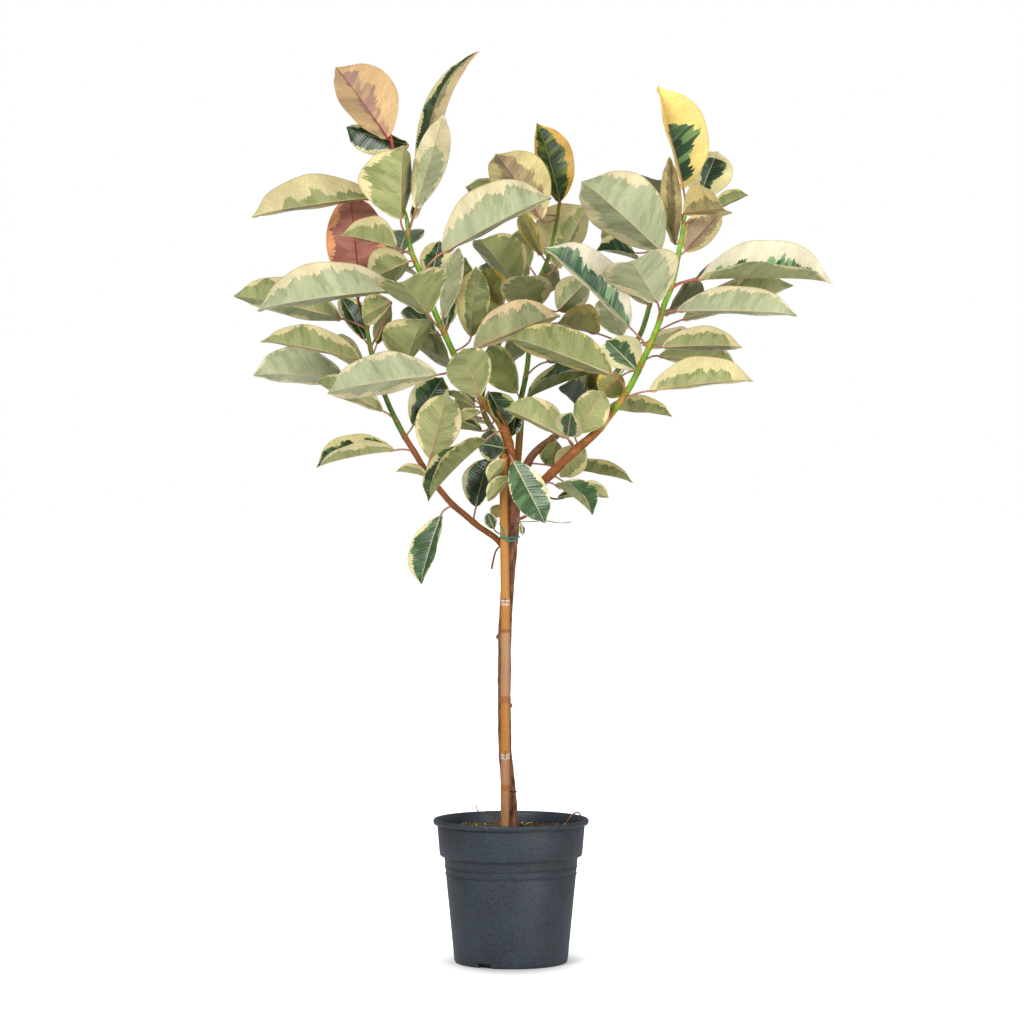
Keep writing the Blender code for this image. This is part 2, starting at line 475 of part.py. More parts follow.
def blade(name, leaf, frame, group):
    """A thin closed blade: a grid bent to the leaf's surface, split in triangles and thickened."""
    mesh = bpy.data.meshes.new(name)
    shape = bmesh.new()
    rows = next(count for reach, count in BLADE_ROWS if frame[2] < reach)
    plain = leaf.width < NARROW_BLADE or leaf.fold < SHALLOW_FOLD or leaf.depth[1] > HIDDEN_DEPTH
    bmesh.ops.create_grid(shape, x_segments=1 if plain else 2, y_segments=rows, size=1.0)
    for vert in shape.verts:
        v = round(vert.co.x, 3)
        s = 0.5 + 0.5 * vert.co.y
        u = 0.5 * s + 0.25 * (1.0 - math.cos(math.pi * s))
        vert.co = blade_point(leaf, frame, u, v)
    bmesh.ops.triangulate(shape, faces=shape.faces)
    bmesh.ops.solidify(shape, geom=shape.verts[:] + shape.edges[:] + shape.faces[:],
                       thickness=BLADE_THICKNESS)
    bmesh.ops.triangulate(shape, faces=shape.faces)
    bmesh.ops.recalc_face_normals(shape, faces=shape.faces)
    shape.to_mesh(mesh)
    shape.free()
    return mesh_object(name, mesh, group)


def nearest_on_stem(knots, x, y):
    """The point of a stem's middle line that lies nearest to a place of the front view."""
    best = None
    for first, second in zip(knots, knots[1:]):
        run = (second[0] - first[0], second[1] - first[1])
        share = ((x - first[0]) * run[0] + (y - first[1]) * run[1]) / (run[0] ** 2 + run[1] ** 2)
        share = min(max(share, 0.0), 1.0)
        spot = [a + (b - a) * share for a, b in zip(first, second)]
        gap = (spot[0] - x) ** 2 + (spot[1] - y) ** 2
        if best is None or gap < best[0]:
            best = (gap, spot)
    return place(*best[1][:3])


def petiole_points(leaf, frame, root):
    """The stalk: from the stem's middle, arriving along the blade and closing round its end."""
    base, tip = frame[0], frame[1]
    along = (tip - base).normalized()
    reach = (base - root).length
    turn = base - along * reach * 0.45
    shares = (0.0, 0.5, 1.0) if reach > LONG_PETIOLE else (0.0, 1.0)
    points = [root * (1 - t) ** 2 + turn * 2 * t * (1 - t) + base * t * t for t in shares]
    points[-1] = points[-1] + along * PETIOLE_OVERLAP
    return points


def add_leaf(name, leaf, knots, group):
    frame = blade_frame(leaf)
    blade(name + "_blade", leaf, frame, group)
    root = nearest_on_stem(knots, *leaf.root)
    points = petiole_points(leaf, frame, root)
    slender = min(1.0, 0.75 + leaf.width / 40.0)
    tube(name + "_stalk", points, [PETIOLE_RADIUS * slender] * len(points), 4, group)


def leafy_stem(name, group):
    knots = STEMS[name]
    parts = work_collection(name + "_parts")
    stem = grid_tube(name, knots, 6, group)
    for number, leaf in enumerate(LEAVES[name]):
        add_leaf(f"{name}_{number}", leaf, knots, parts)
    return boolean(stem, "UNION", parts, group, "MANIFOLD")


def stub(name, knots, group):
    """A limb's first few mm, ending square to its stem and a hair short of it."""
    first, second = [place(x, y, depth) for x, y, depth, _ in STEMS[name][:2]]
    along = (second - first).normalized()
    radius = STEMS[name][0][3] * MM
    points = [place(x, y, depth) for x, y, depth, _ in knots]
    points += [first - along * STUB_LENGTH, first - along * GAP]
    tube(name + "_stub", points, [r * MM for *_, r in knots] + [radius, radius], 8, group)


def trunk(group):
    parts = work_collection("trunk_parts")
    body = grid_tube("trunk", TRUNK, 10, group)
    for name, knots in TRUNK_STUBS.items():
        stub(name, knots, parts)
    for number, knots in enumerate(TRUNK_TWIGS):
        grid_tube(f"twig_{number}", knots, 4, parts)
    for number, (x, y, depth, radius) in enumerate(TRUNK_KNOTS):
        mesh = bpy.data.meshes.new("knot")
        shape = bmesh.new()
        bmesh.ops.create_icosphere(shape, subdivisions=1, radius=radius * MM)
        bmesh.ops.translate(shape, verts=shape.verts, vec=place(x, y, depth))
        shape.to_mesh(mesh)
        shape.free()
        mesh_object(f"knot_{number}", mesh, parts)
    for number, leaf in enumerate(TRUNK_LEAVES):
        add_leaf(f"sprout_{number}", leaf, TRUNK, parts)
    return boolean(body, "UNION", parts, group, "MANIFOLD")


def pot_profile():
    """Outer side from the rim down, under the foot, and up the inner side."""
    slope = (BODY_TOP_RADIUS - BODY_FOOT_RADIUS) / COLLAR_FOOT

    def body_radius(height):
        return BODY_FOOT_RADIUS + slope * height

    outer = [
        (RIM_RADIUS - 3.2 * MM, RIM_TOP), (RIM_RADIUS - 0.9 * MM, RIM_TOP - 1.4 * MM),
        (RIM_RADIUS, RIM_TOP - 4.0 * MM), (RIM_RADIUS - 1.6 * MM, RIM_TOP - LIP_DEPTH),
        (COLLAR_TOP_RADIUS, RIM_TOP - LIP_DEPTH - 1.6 * MM),
        (COLLAR_FOOT_RADIUS + 0.5 * MM, COLLAR_FOOT + 6.0 * MM),
        (COLLAR_FOOT_RADIUS - 0.8 * MM, COLLAR_FOOT + 2.0 * MM),
        (COLLAR_FOOT_RADIUS - 4.0 * MM, COLLAR_FOOT),
        (body_radius(COLLAR_FOOT) + 0.6 * MM, COLLAR_FOOT - 0.8 * MM),
        (BODY_FOOT_RADIUS + 0.2 * MM, 7.0 * MM), (BODY_FOOT_RADIUS - 1.2 * MM, 2.0 * MM),
        (BODY_FOOT_RADIUS - 4.0 * MM, 0.0),
    ]
    under = [
        (FOOT_RING_RADIUS, 0.0), (FOOT_RING_RADIUS - 2.0 * MM, FLOOR_UNDERSIDE),
        (CENTRE_PAD_RADIUS + 2.0 * MM, FLOOR_UNDERSIDE), (CENTRE_PAD_RADIUS, 0.0), (0.0, 0.0),
    ]
    inner = [
        (0.0, FLOOR_TOP), (BODY_FOOT_RADIUS - WALL - 0.4 * MM, FLOOR_TOP),
        (body_radius(COLLAR_FOOT) - WALL, COLLAR_FOOT - 0.8 * MM),
        (COLLAR_FOOT_RADIUS - WALL - 2.0 * MM, COLLAR_FOOT + 3.0 * MM),
        (COLLAR_TOP_RADIUS - WALL, RIM_TOP - LIP_DEPTH - 3.0 * MM),
        (RIM_RADIUS - 6.4 * MM, RIM_TOP - 1.4 * MM),
    ]
    return outer, under, inner


def pot(group):
    outer, under, inner = pot_profile()
    body = turned("pot", outer + under + inner, POT_SIDES, group)
    cutters = work_collection("pot_cutters")
    for number in range(NOTCH_COUNT):
        angle = NOTCH_TURN + 2.0 * math.pi * number / NOTCH_COUNT
        mesh = bpy.data.meshes.new("notch")
        shape = bmesh.new()
        bmesh.ops.create_cube(shape, size=1.0)
        bmesh.ops.scale(shape, verts=shape.verts, vec=(24.0 * MM, NOTCH_WIDTH, 2.0 * NOTCH_HEIGHT))
        bmesh.ops.translate(shape, verts=shape.verts, vec=(BODY_FOOT_RADIUS, 0.0, 0.0))
        shape.to_mesh(mesh)
        shape.free()
        notch = mesh_object(f"notch_{number}", mesh, cutters)
        notch.rotation_euler.z = angle
    for number in range(DRAIN_COUNT):
        angle = math.pi * (0.25 + 0.5 * number)
        centre = Vector((DRAIN_RING * math.cos(angle), DRAIN_RING * math.sin(angle), FLOOR_TOP))
        cylinder(f"drain_{number}", centre, DRAIN_RADIUS, 4.0 * FLOOR_TOP, 10, cutters)
    for cutter in cutters.objects:
        cutter.hide_render = True
        cutter.display_type = "WIRE"
    return boolean(body, "DIFFERENCE", cutters, group)


def soil(group):
    """The root ball: fills the pot to 17 mm below the rim, with a slightly heaped, uneven top."""
    _, _, inner = pot_profile()
    side = [(radius - GAP * 1.5, height) for radius, height in inner[1:-2]]
    side[0] = (side[0][0], FLOOR_TOP + GAP)
    top_radius = side[-1][0] + (COLLAR_TOP_RADIUS - COLLAR_FOOT_RADIUS) * 0.6
    crown = [(0.0, SOIL_TOP + 3.0 * MM), (36.0 * MM, SOIL_TOP + 2.4 * MM), (78.0 * MM, SOIL_TOP + 1.0 * MM),
             (top_radius, SOIL_TOP - 1.0 * MM)]
    profile = crown + side[::-1] + [(0.0, FLOOR_TOP + GAP)]
    body = turned("soil", profile, POT_SIDES, group)
    for vert in body.data.vertices:
        radius = math.hypot(vert.co.x, vert.co.y)
        if vert.co.z > SOIL_TOP - 2.0 * MM and radius < 100.0 * MM:
            angle = math.atan2(vert.co.y, vert.co.x)
            swell = math.sin(3.0 * angle + 40.0 * radius) + math.sin(5.0 * angle - 70.0 * radius)
            vert.co.z += SOIL_RIPPLE * 0.5 * swell * min(1.0, radius / (30.0 * MM))
    holes = work_collection("soil_holes")
    for name, knots in (("trunk_hole", TRUNK), ("cane_hole", CANE)):
        foot = place(*knots[0][:3])
        ground = place(*knots[1][:3])
        radius = knots[0][3] * MM / math.cos(math.pi / 12.0) + HOLE_CLEARANCE
        centre = Vector((foot.x, foot.y, ground.z + 10.0 * MM))
        depth = 2.0 * (ground.z + 10.0 * MM - foot.z + 1.0 * MM)
        cylinder(name, centre, radius, depth, 12, holes)
    for name, knots in (("loop_hole_a", ROOT_LOOP), ("loop_hole_b", ROOT_LOOP[::-1]), ("twig_hole", DRY_TWIG)):
        foot = place(*knots[0][:3])
        centre = Vector((foot.x, foot.y, SOIL_TOP))
        cylinder(name, centre, 2.4 * MM, 2.0 * (SOIL_TOP - foot.z + 1.0 * MM), 6, holes)
    return boolean(body, "DIFFERENCE", holes, group)


def straight_foot(knots):
    """Stands a stem's buried end upright under its first point above ground."""
    ground = place(*knots[1][:3])
    foot = place(*knots[0][:3])
    return [Vector((ground.x, ground.y, foot.z)), ground]


def ring_around(centres, radii, clearance, steps):
    """A taut loop round two round posts, as points on the hull of their swollen circles."""
    spots = []
    for centre, radius in zip(centres, radii):
        for number in range(steps):
            angle = 2.0 * math.pi * number / steps
            reach = radius + clearance
            spots.append((centre[0] + reach * math.cos(angle), centre[1] + reach * math.sin(angle)))
    return convex_hull(spots)


def convex_hull(spots):
    spots = sorted(set(spots))

    def half_hull(items):
        chain = []
        for spot in items:
            while len(chain) > 1 and turn_of(chain[-2], chain[-1], spot) <= 1e-12:
                chain.pop()
            chain.append(spot)
        return chain[:-1]

    return half_hull(spots) + half_hull(spots[::-1])


def turn_of(a, b, c):
    return (b[0] - a[0]) * (c[1] - a[1]) - (b[1] - a[1]) * (c[0] - a[0])


def post_at(knots, y):
    """Middle and radius of a post at a height of the front view."""
    for first, second in zip(knots, knots[1:]):
        if second[1] <= y <= first[1]:
            share = (y - first[1]) / (second[1] - first[1])
            spot = [a + (b - a) * share for a, b in zip(first, second)]
            return place(*spot[:3]), spot[3] * MM
    raise ValueError("no post at that height")


def upper_tie(group):
    """Coated wire round cane and trunk, twisted in front, with an eye and a tail."""
    trunk_centre, trunk_radius = post_at(TRUNK, TIE_HEIGHT_Y)
    cane_centre, cane_radius = post_at(CANE, TIE_HEIGHT_Y)
    loop = ring_around((trunk_centre, cane_centre), (trunk_radius, cane_radius), TIE_RADIUS + 0.7 * MM, 14)
    height = cane_centre.z
    points = [Vector((x, y, height)) for x, y in loop]
    body = tube("upper_tie", points, [TIE_RADIUS] * len(points), 6, group, closed=True)
    parts = work_collection("tie_parts")
    grid_tube("tie_tail", TIE_TAIL, 6, parts)
    grid_tube("tie_eye", TIE_LOOP_EYE, 6, parts)
    return boolean(body, "UNION", parts, group, "MANIFOLD")


def lower_string(group):
    """Thin dark string knotted round the trunk just above the soil."""
    centre, radius = post_at(TRUNK, STRING_HEIGHT_Y)
    points = []
    for number in range(14):
        angle = 2.0 * math.pi * number / 14
        reach = radius + STRING_RADIUS + 0.6 * MM
        rise = -1.5 * MM * math.cos(angle)
        points.append(centre + Vector((reach * math.cos(angle), reach * math.sin(angle), rise)))
    return tube("lower_string", points, [STRING_RADIUS] * len(points), 4, group, closed=True)


def cane(group):
    points = [place(x, y, depth) for x, y, depth, _ in CANE]
    points[0] = Vector((points[1].x, points[1].y, points[0].z))
    return tube("bamboo_cane", points, [radius * MM for *_, radius in CANE], 10, group)


def finish(item, material):
    item.data.materials.clear()
    item.data.materials.append(material)
    item.data.shade_smooth()
    item.data.set_sharp_from_angle(angle=math.radians(40.0))


def main():
    clear_scene()
    group = new_collection("potted_rubber_plant")
    plastic = new_material("nursery_plastic", "47525A", 0.5)
    peat = new_material("potting_soil", "4A3524", 0.95)
    bark = new_material("brown_bark", "7C4A30", 0.8)
    bamboo = new_material("bamboo", "CE9552", 0.55)
    foliage = new_material("variegated_leaf", "A9B388", 0.45)
    coated = new_material("coated_wire", "1F9C86", 0.5)
    twine = new_material("dark_twine", "2B1A14", 0.9)
    finish(pot(group), plastic)
    finish(soil(group), peat)
    finish(trunk(group), bark)
    finish(cane(group), bamboo)
    for name in STEMS:
        finish(leafy_stem(name, group), foliage)
    finish(upper_tie(group), coated)
    finish(lower_string(group), twine)
    finish(grid_tube("root_loop", ROOT_LOOP, 6, group), bark)
    finish(grid_tube("dry_twig", DRY_TWIG, 4, group), bark)


main()
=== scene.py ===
"""Looks of a variegated rubber plant grown as a small tree on one cane, in a plastic nursery pot.

Metres, +Z up, -Y is the front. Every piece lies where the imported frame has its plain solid.
"""
import math
from collections import namedtuple

import bmesh
import bpy
from mathutils import Matrix, Vector, noise

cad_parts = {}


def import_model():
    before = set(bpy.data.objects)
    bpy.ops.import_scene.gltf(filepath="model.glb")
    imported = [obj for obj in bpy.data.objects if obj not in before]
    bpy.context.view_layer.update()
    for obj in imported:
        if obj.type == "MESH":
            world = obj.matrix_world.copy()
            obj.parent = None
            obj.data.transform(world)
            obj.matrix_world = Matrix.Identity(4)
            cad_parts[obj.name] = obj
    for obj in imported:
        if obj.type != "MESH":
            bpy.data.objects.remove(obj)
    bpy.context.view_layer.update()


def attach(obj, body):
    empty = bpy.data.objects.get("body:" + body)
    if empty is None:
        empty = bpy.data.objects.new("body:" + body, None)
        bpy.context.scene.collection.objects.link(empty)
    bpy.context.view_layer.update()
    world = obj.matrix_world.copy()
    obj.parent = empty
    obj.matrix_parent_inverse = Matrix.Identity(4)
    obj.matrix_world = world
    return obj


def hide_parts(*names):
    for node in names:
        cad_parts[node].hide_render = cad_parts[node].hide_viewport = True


# Front view
# Places of stems and leaves are read off a front view drawn through the pot's axis.
# Its grid runs from the top left corner; one step is GRID, fixed by the pot's 240 mm rim.
GRID = 0.001538
GRID_AXIS_X = 511.0
GRID_GROUND_Y = 963.5
EYE_DISTANCE = 6.5
EYE_HEIGHT = 0.90
CM = 0.01
MM = 0.001

# Pot, as the frame has it, with the fine rings of the moulding added
POT_SIDES = 144
RIM_RADIUS = 120.0 * MM
RIM_TOP = 222.0 * MM
LIP_DEPTH = 8.0 * MM
COLLAR_TOP_RADIUS = 113.8 * MM
COLLAR_FOOT_RADIUS = 109.8 * MM
COLLAR_FOOT = 165.0 * MM
BODY_TOP_RADIUS = 103.2 * MM
BODY_FOOT_RADIUS = 87.8 * MM
WALL = 2.0 * MM
FLOOR_TOP = 6.5 * MM
FLOOR_UNDERSIDE = 4.0 * MM
CENTRE_PAD_RADIUS = 26.0 * MM
FOOT_RING_RADIUS = 76.0 * MM
RING_STEPS = (148.9 * MM, 137.5 * MM)
RING_HEIGHT = 0.9 * MM
RING_GROOVE = 0.5 * MM
NOTCH_WIDTH = 22.0 * MM
NOTCH_HEIGHT = 7.5 * MM
NOTCH_DEPTH = 24.0 * MM
NOTCH_COUNT = 3
NOTCH_TURN = math.radians(-118.0)
DRAIN_RADIUS = 6.0 * MM
DRAIN_RING = 50.0 * MM
DRAIN_COUNT = 4

# Soil
SOIL_TOP = 205.0 * MM
SOIL_RADIUS = 107.6 * MM
SOIL_RINGS = 70
# Radius and height of the root ball below its surface
ROOT_BALL = ((102.0 * MM, 168.0 * MM), (100.6 * MM, 164.0 * MM), (86.6 * MM, 6.9 * MM), (0.0, 6.9 * MM))
CRUMBS = 1100
CRUMBS_A_BATCH = 50
GOLDEN_ANGLE = 2.399963
PERLITE_EVERY = 31
# Bits of straw on the soil: x, y, heading, length
STRAWS = ((-0.030, -0.060, 0.2, 0.026), (0.045, -0.055, 2.4, 0.018), (0.02, 0.05, 1.1, 0.03),
          (-0.05, 0.03, 2.0, 0.022))

# Blades
BLADE_THICKNESS = 0.45 * MM
# Half width of the blunt ends, and the share of the length over which the fold flattens out there
BLADE_END = 0.7 * MM
FLAT_END = 0.07
# Shares of half the width, closer together at the midrib
BLADE_COLUMNS = (0.0, 0.035, 0.09, 0.18, 0.30, 0.44, 0.58, 0.72, 0.86, 1.0)
BLADE_ROWS = 38
PETIOLE_RADIUS = 1.6 * MM
# The midrib's height underneath, the share of it on top, and its reach to each side
MIDRIB_HEIGHT = 1.1 * MM
MIDRIB_TOP_SHARE = 0.35
MIDRIB_REACH = 2.4 * MM
# Waves of the edge: height as a share of half the width, and how many there are along a blade
WAVE_HEIGHT = 0.035
WAVES = 2.1
# So much is taken off the reach of the green where it stops, which puts its edge past the midrib
GREEN_GONE = 1.3
# Side veins leave the midrib at this slope, one every step, and each half has a pattern of its own
VEIN_SLANT = 0.45
VEIN_STEP = 5.0 * MM
HALF_SHIFT = 3.7
# Patterns stretched along the side veins: repeats a metre and detail
VEIN_GRAINS = {
    "bays": (28.0, 0.0),      # 35 mm wide, in the edge of the green
    "tongues": (110.0, 1.0),  # 9 mm wide, in the edge of the green
    "teeth": (420.0, 1.0),    # 2.5 mm wide, on the tongues
    "clumps": (62.0, 2.0),    # 16 mm wide, where patches crowd
    "fold_shade": (85.0, 1.0),     # 12 mm apart, painted shade of folds
    "shade_clouds": (30.0, 4.0),    # 33 mm wide, painted shade and light
    "fibres": (500.0, 1.0),   # 2 mm wide, painted fine streaks of shade
    "swells": (34.0, 1.0),    # 30 mm long
}
EDGE_LINE = "9A8448"
SPECK = "7A5426"

# Dull grainy things: dark and pale sRGB, roughness, grains a metre and the grain's height
GRAINY = {
    "tarred_twine": ("1E120D", "3A2720", 0.9, 600.0, 0.0004),          # near-black twisted fibre
    "vinyl_coated_wire": ("047C66", "0CA68C", 0.45, 300.0, 0.0001),    # smooth, with a soft gloss
    "peat_and_bark_soil": ("24170E", "6A4C33", 0.95, 260.0, 0.0015),   # dark, damp and very rough
    "cushion_moss": ("4A4716", "8E822C", 0.95, 400.0, 0.0012),         # velvety olive
    "perlite": ("D8D2C4", "F2EEE4", 0.9, 300.0, 0.0006),               # chalky white foam grains
    "straw": ("C9A83A", "E6D06A", 0.7, 200.0, 0.0003),                 # silky gold stalks
}

# Colours up the cane at heights of the front view: pale double rings, with a joint's orange between
CANE_BANDS = (
    (800, "AC784C"), (789, "AC784C"), (787.5, "A0601F"), (783, "A0601F"), (781, "AE7A50"), (757, "AE7A50"),
    (755.5, "DCCDB8"), (753.5, "A88458"), (752, "DCCDB8"), (750, "B87628"), (702, "B8782C"), (700, "A2622A"),
    (695, "A2622A"), (693, "B4855C"), (668, "B0815A"), (632, "B78A5F"), (629, "9A5A24"), (627.5, "9A5A24"),
    (626, "BC7E34"), (604, "BC7E34"), (602, "DCCDB8"), (600.5, "B07034"), (598.5, "DCCDB8"), (597, "C08238"),
)

# Strength of the light round the plant, and lamps: name, place, size and power
AMBIENT = 0.33
LIGHTS = (("key", (-2.2, -3.8, 3.4), 1.8, 158.0), ("fill", (2.8, -3.4, 1.6), 2.4, 90.0),
          ("top", (0.0, 0.3, 4.2), 2.6, 58.0))
LAMP_AIM = (0.0, 0.0, 0.8)
WHITE = (1.0, 1.0, 1.0, 1.0)
FLOOR_REACH = 20.0
# The floor begins to glow this far from the pot's axis and is all white this far from it
FLOOR_GLOW = (0.10, 0.24)
CAMERA_X = 0.0015
AIM_HEIGHT = 0.6944
LENS = 148.65
SENSOR_WIDTH = 36.0

# Painted shade: leaves deep in the crown are coloured a darker, more olive green. Middle and reach
# of that heart of the crown, and what the red, green and blue of a leaf in its middle are multiplied
# by. The painted shade is full up to the first share of that reach in HEART_FADE and gone past the second.
HEART = (0.012, 0.05, 0.913)
HEART_REACH = (0.17, 0.10, 0.22)
HEART_SHADE = (0.50, 0.55, 0.36)
HEART_FADE = (0.45, 1.15)
# At its leaf scars a stem swells by a share of its radius, and a green one has a ring of cork.
# Both reach this far up and down
SCAR_SWELL = 0.12
SCAR_SWELL_REACH = 5.0 * MM
SCAR_REACH = 3.0 * MM
CORK = "B06A24"

# Patterns of stems, and of leaves on one stem, lie this far apart in the noise that draws them
STEM_SEED = 60.0
LEAF_SEED = 1.7
TRUNK_SEED = 400.0

# The side of a blade that is turned to the front
UNDER = -1
OVER = 1

# A leaf, all places on the front view's grid and depths and widths in cm. root is where the
# stalk leaves the stem, base and tip are the blade's ends, depth is how far base and tip lie
# behind the pot's axis, and face is the side turned to the front. lean tilts the upper side
# skyward and fold raises each half of the blade, in degrees. arch bows the midrib upwards and
# sway bows it sideways, as shares of the blade's length.
Leaf = namedtuple("Leaf", "root base tip depth width face lean fold arch sway", defaults=(0.02, 0.0))

# Stem points: x and y of the front view, depth in cm, radius in mm
TRUNK = (
    (510.5, 872, 0.9, 11.4), (510.5, 829, 0.9, 11.4), (509.6, 800, 0.9, 11.2), (507.0, 775, 0.9, 10.8),
    (504.8, 745, 0.9, 10.4), (504.2, 700, 0.9, 10.3), (504.4, 650, 0.9, 10.4), (505.6, 615, 0.9, 10.4),
    (508.0, 580, 0.9, 10.6), (510.2, 550, 0.9, 11.0), (512.0, 520, 0.9, 11.8), (513.0, 500, 0.9, 12.6),
    (513.0, 486, 0.8, 12.8), (513.0, 478, 0.8, 10.5),
)
# Where each leafy stem springs from the trunk; the last knot stands on the stem's own line
TRUNK_STUBS = {
    "low_left_stem": ((508, 552, 0.9, 5.0), (504, 546, 0.8, 5.0)),
    "tall_left_stem": ((513, 489, 0.8, 7.5),),
    "middle_stem": ((514, 489, 1.0, 6.5),),
    "back_right_stem": ((514, 494, 1.0, 7.5),),
    "tall_right_stem": ((514, 503, 0.8, 8.5),),
    "back_stem": ((511, 488, 1.2, 6.0),),
}
TRUNK_TWIGS = (
    ((503, 545, 0.5, 1.6), (497, 549, 0.2, 1.5), (494, 557, 0.0, 1.5), (491.5, 569, -0.2, 1.7)),
    ((516, 520, 0.6, 0.9), (524, 522, 0.2, 0.8), (545, 521, -0.4, 0.7), (560, 523, -0.8, 0.7),
     (572, 522, -1.0, 0.6)),
    ((516, 520, 0.6, 2.6), (522, 518, 0.2, 2.4), (527, 515.5, -0.1, 2.2)),
)
TRUNK_KNOTS = ((498.3, 637, 0.9, 4.2), (510.3, 706, 0.9, 3.8))
TRUNK_VOXEL = 1.2 * MM
BARK_SWELL = 0.9 * MM
CRACK_DEPTH = 0.8 * MM

CANE = (
    (505.0, 866, -1.35, 6.9), (505.0, 829, -1.35, 6.9), (505.2, 757, -1.35, 6.9), (505.2, 754, -1.35, 7.5),
    (505.2, 751, -1.35, 6.9), (505.4, 650, -1.35, 7.0), (505.3, 602, -1.35, 6.9), (505.3, 599, -1.35, 7.5),
    (505.2, 596, -1.35, 6.9), (504.0, 520, -1.35, 6.5), (503.6, 490, -1.35, 6.2), (503.1, 454, -1.35, 6.1),
)

STEMS = {
    "low_left_stem": (
        (497.2, 539.7, 0.5, 4.9), (490, 534, 0.0, 4.9), (478, 526, -0.6, 4.8), (465, 515, -1.3, 4.8),
        (452, 504, -2.0, 4.7), (440, 490, -3.0, 4.6), (427, 473, -4.0, 4.6), (415, 453, -4.6, 4.5),
        (405, 437, -4.6, 4.4), (400, 428, -4.5, 4.4), (392, 412, -4.2, 4.0), (386, 398, -4.0, 3.8),
        (378, 376, -3.8, 3.7), (372, 355, -3.8, 3.6), (369, 340, -3.9, 3.4), (366, 325, -4.0, 3.2),
        (361, 310, -4.2, 2.6), (357, 296, -4.3, 1.6),
    ),
    "tall_left_stem": (
        (511.3, 468.7, 0.3, 7.4), (510.5, 458, 0.0, 7.4), (509, 446, -0.6, 7.6), (505, 432, -1.4, 7.8),
        (499, 420, -2.0, 7.6), (490, 409, -2.6, 6.8), (481, 399, -3.0, 5.6), (470, 382, -3.6, 5.0),
        (460, 366, -4.0, 4.8), (452, 350, -4.4, 4.7), (443, 330, -4.7, 4.6), (436, 315, -4.9, 4.5),
        (429, 295, -5.0, 4.4), (421, 274, -5.0, 4.3), (413, 256, -5.0, 3.9), (409, 240, -4.8, 3.5),
        (407, 220, -4.4, 3.2), (402, 205, -3.8, 3.1), (398, 185, -3.4, 2.9), (395, 165, -3.2, 2.8),
        (393, 148, -3.2, 2.6), (391, 134, -3.0, 0.9),
    ),
    "middle_stem": (
        (517.0, 465.6, 2.3, 5.8), (518.5, 450, 2.8, 5.6), (520, 430, 3.2, 5.4), (521, 415, 3.3, 5.0),
        (521, 400, 3.3, 4.4), (525, 380, 3.2, 4.0), (528, 360, 3.2, 3.9), (529, 340, 3.2, 3.7),
        (530, 320, 3.2, 3.6), (534, 300, 3.4, 3.4), (540, 282, 3.8, 3.3), (546, 266, 4.2, 3.1),
        (551, 248, 4.4, 2.9), (555, 230, 4.4, 2.8), (558, 213, 4.2, 2.6), (559, 197, 4.0, 1.1),
    ),
    "back_right_stem": (
        (526.2, 466.6, 2.4, 6.4), (532, 456, 3.2, 6.2), (541, 447, 4.4, 6.0), (552, 439, 5.6, 5.8),
        (566, 427, 7.0, 5.4), (583, 412, 8.4, 5.0), (600, 395, 9.6, 4.7), (618, 370, 10.6, 4.4),
        (632, 349, 11.2, 4.2), (642, 330, 11.6, 4.0), (650, 303, 12.0, 3.8), (655, 280, 12.0, 3.5),
        (656, 258, 12.0, 3.3), (652, 236, 12.0, 3.0), (646, 214, 11.8, 2.6), (642, 198, 11.6, 1.2),
    ),
    "tall_right_stem": (
        (531.3, 491.8, -0.7, 7.2), (540, 484, -1.4, 7.2), (550, 475, -2.0, 7.2), (565, 460, -2.6, 7.0),
        (578, 448, -3.2, 6.8), (590, 438, -3.6, 6.4), (600, 428, -4.0, 6.0), (610, 415, -4.3, 5.4),
        (618, 405, -4.6, 5.2), (628, 390, -5.0, 5.0), (636, 375, -5.3, 4.9), (643, 360, -5.6, 4.8),
        (650, 345, -5.8, 4.7), (658, 325, -6.0, 4.5), (664, 305, -6.0, 4.4), (670, 290, -6.0, 4.3),
        (675, 272, -6.0, 4.2), (678, 255, -5.9, 4.0), (681, 240, -5.7, 3.7), (683, 225, -5.5, 3.4),
        (685, 212, -5.2, 3.0), (686, 198, -5.0, 1.2),
    ),
    "back_stem": (
        (506.0, 461.7, 2.8, 5.2), (503, 448, 4.0, 5.0), (494, 432, 5.4, 4.8), (486, 418, 6.8, 4.4),
        (482, 404, 8.0, 4.2), (484, 385, 9.2, 4.0), (492, 360, 10.4, 3.8), (505, 332, 11.4, 3.6),
        (522, 304, 12.0, 3.5), (538, 280, 12.4, 3.4), (548, 258, 12.6, 3.0), (552, 240, 12.6, 1.2),
    ),
}

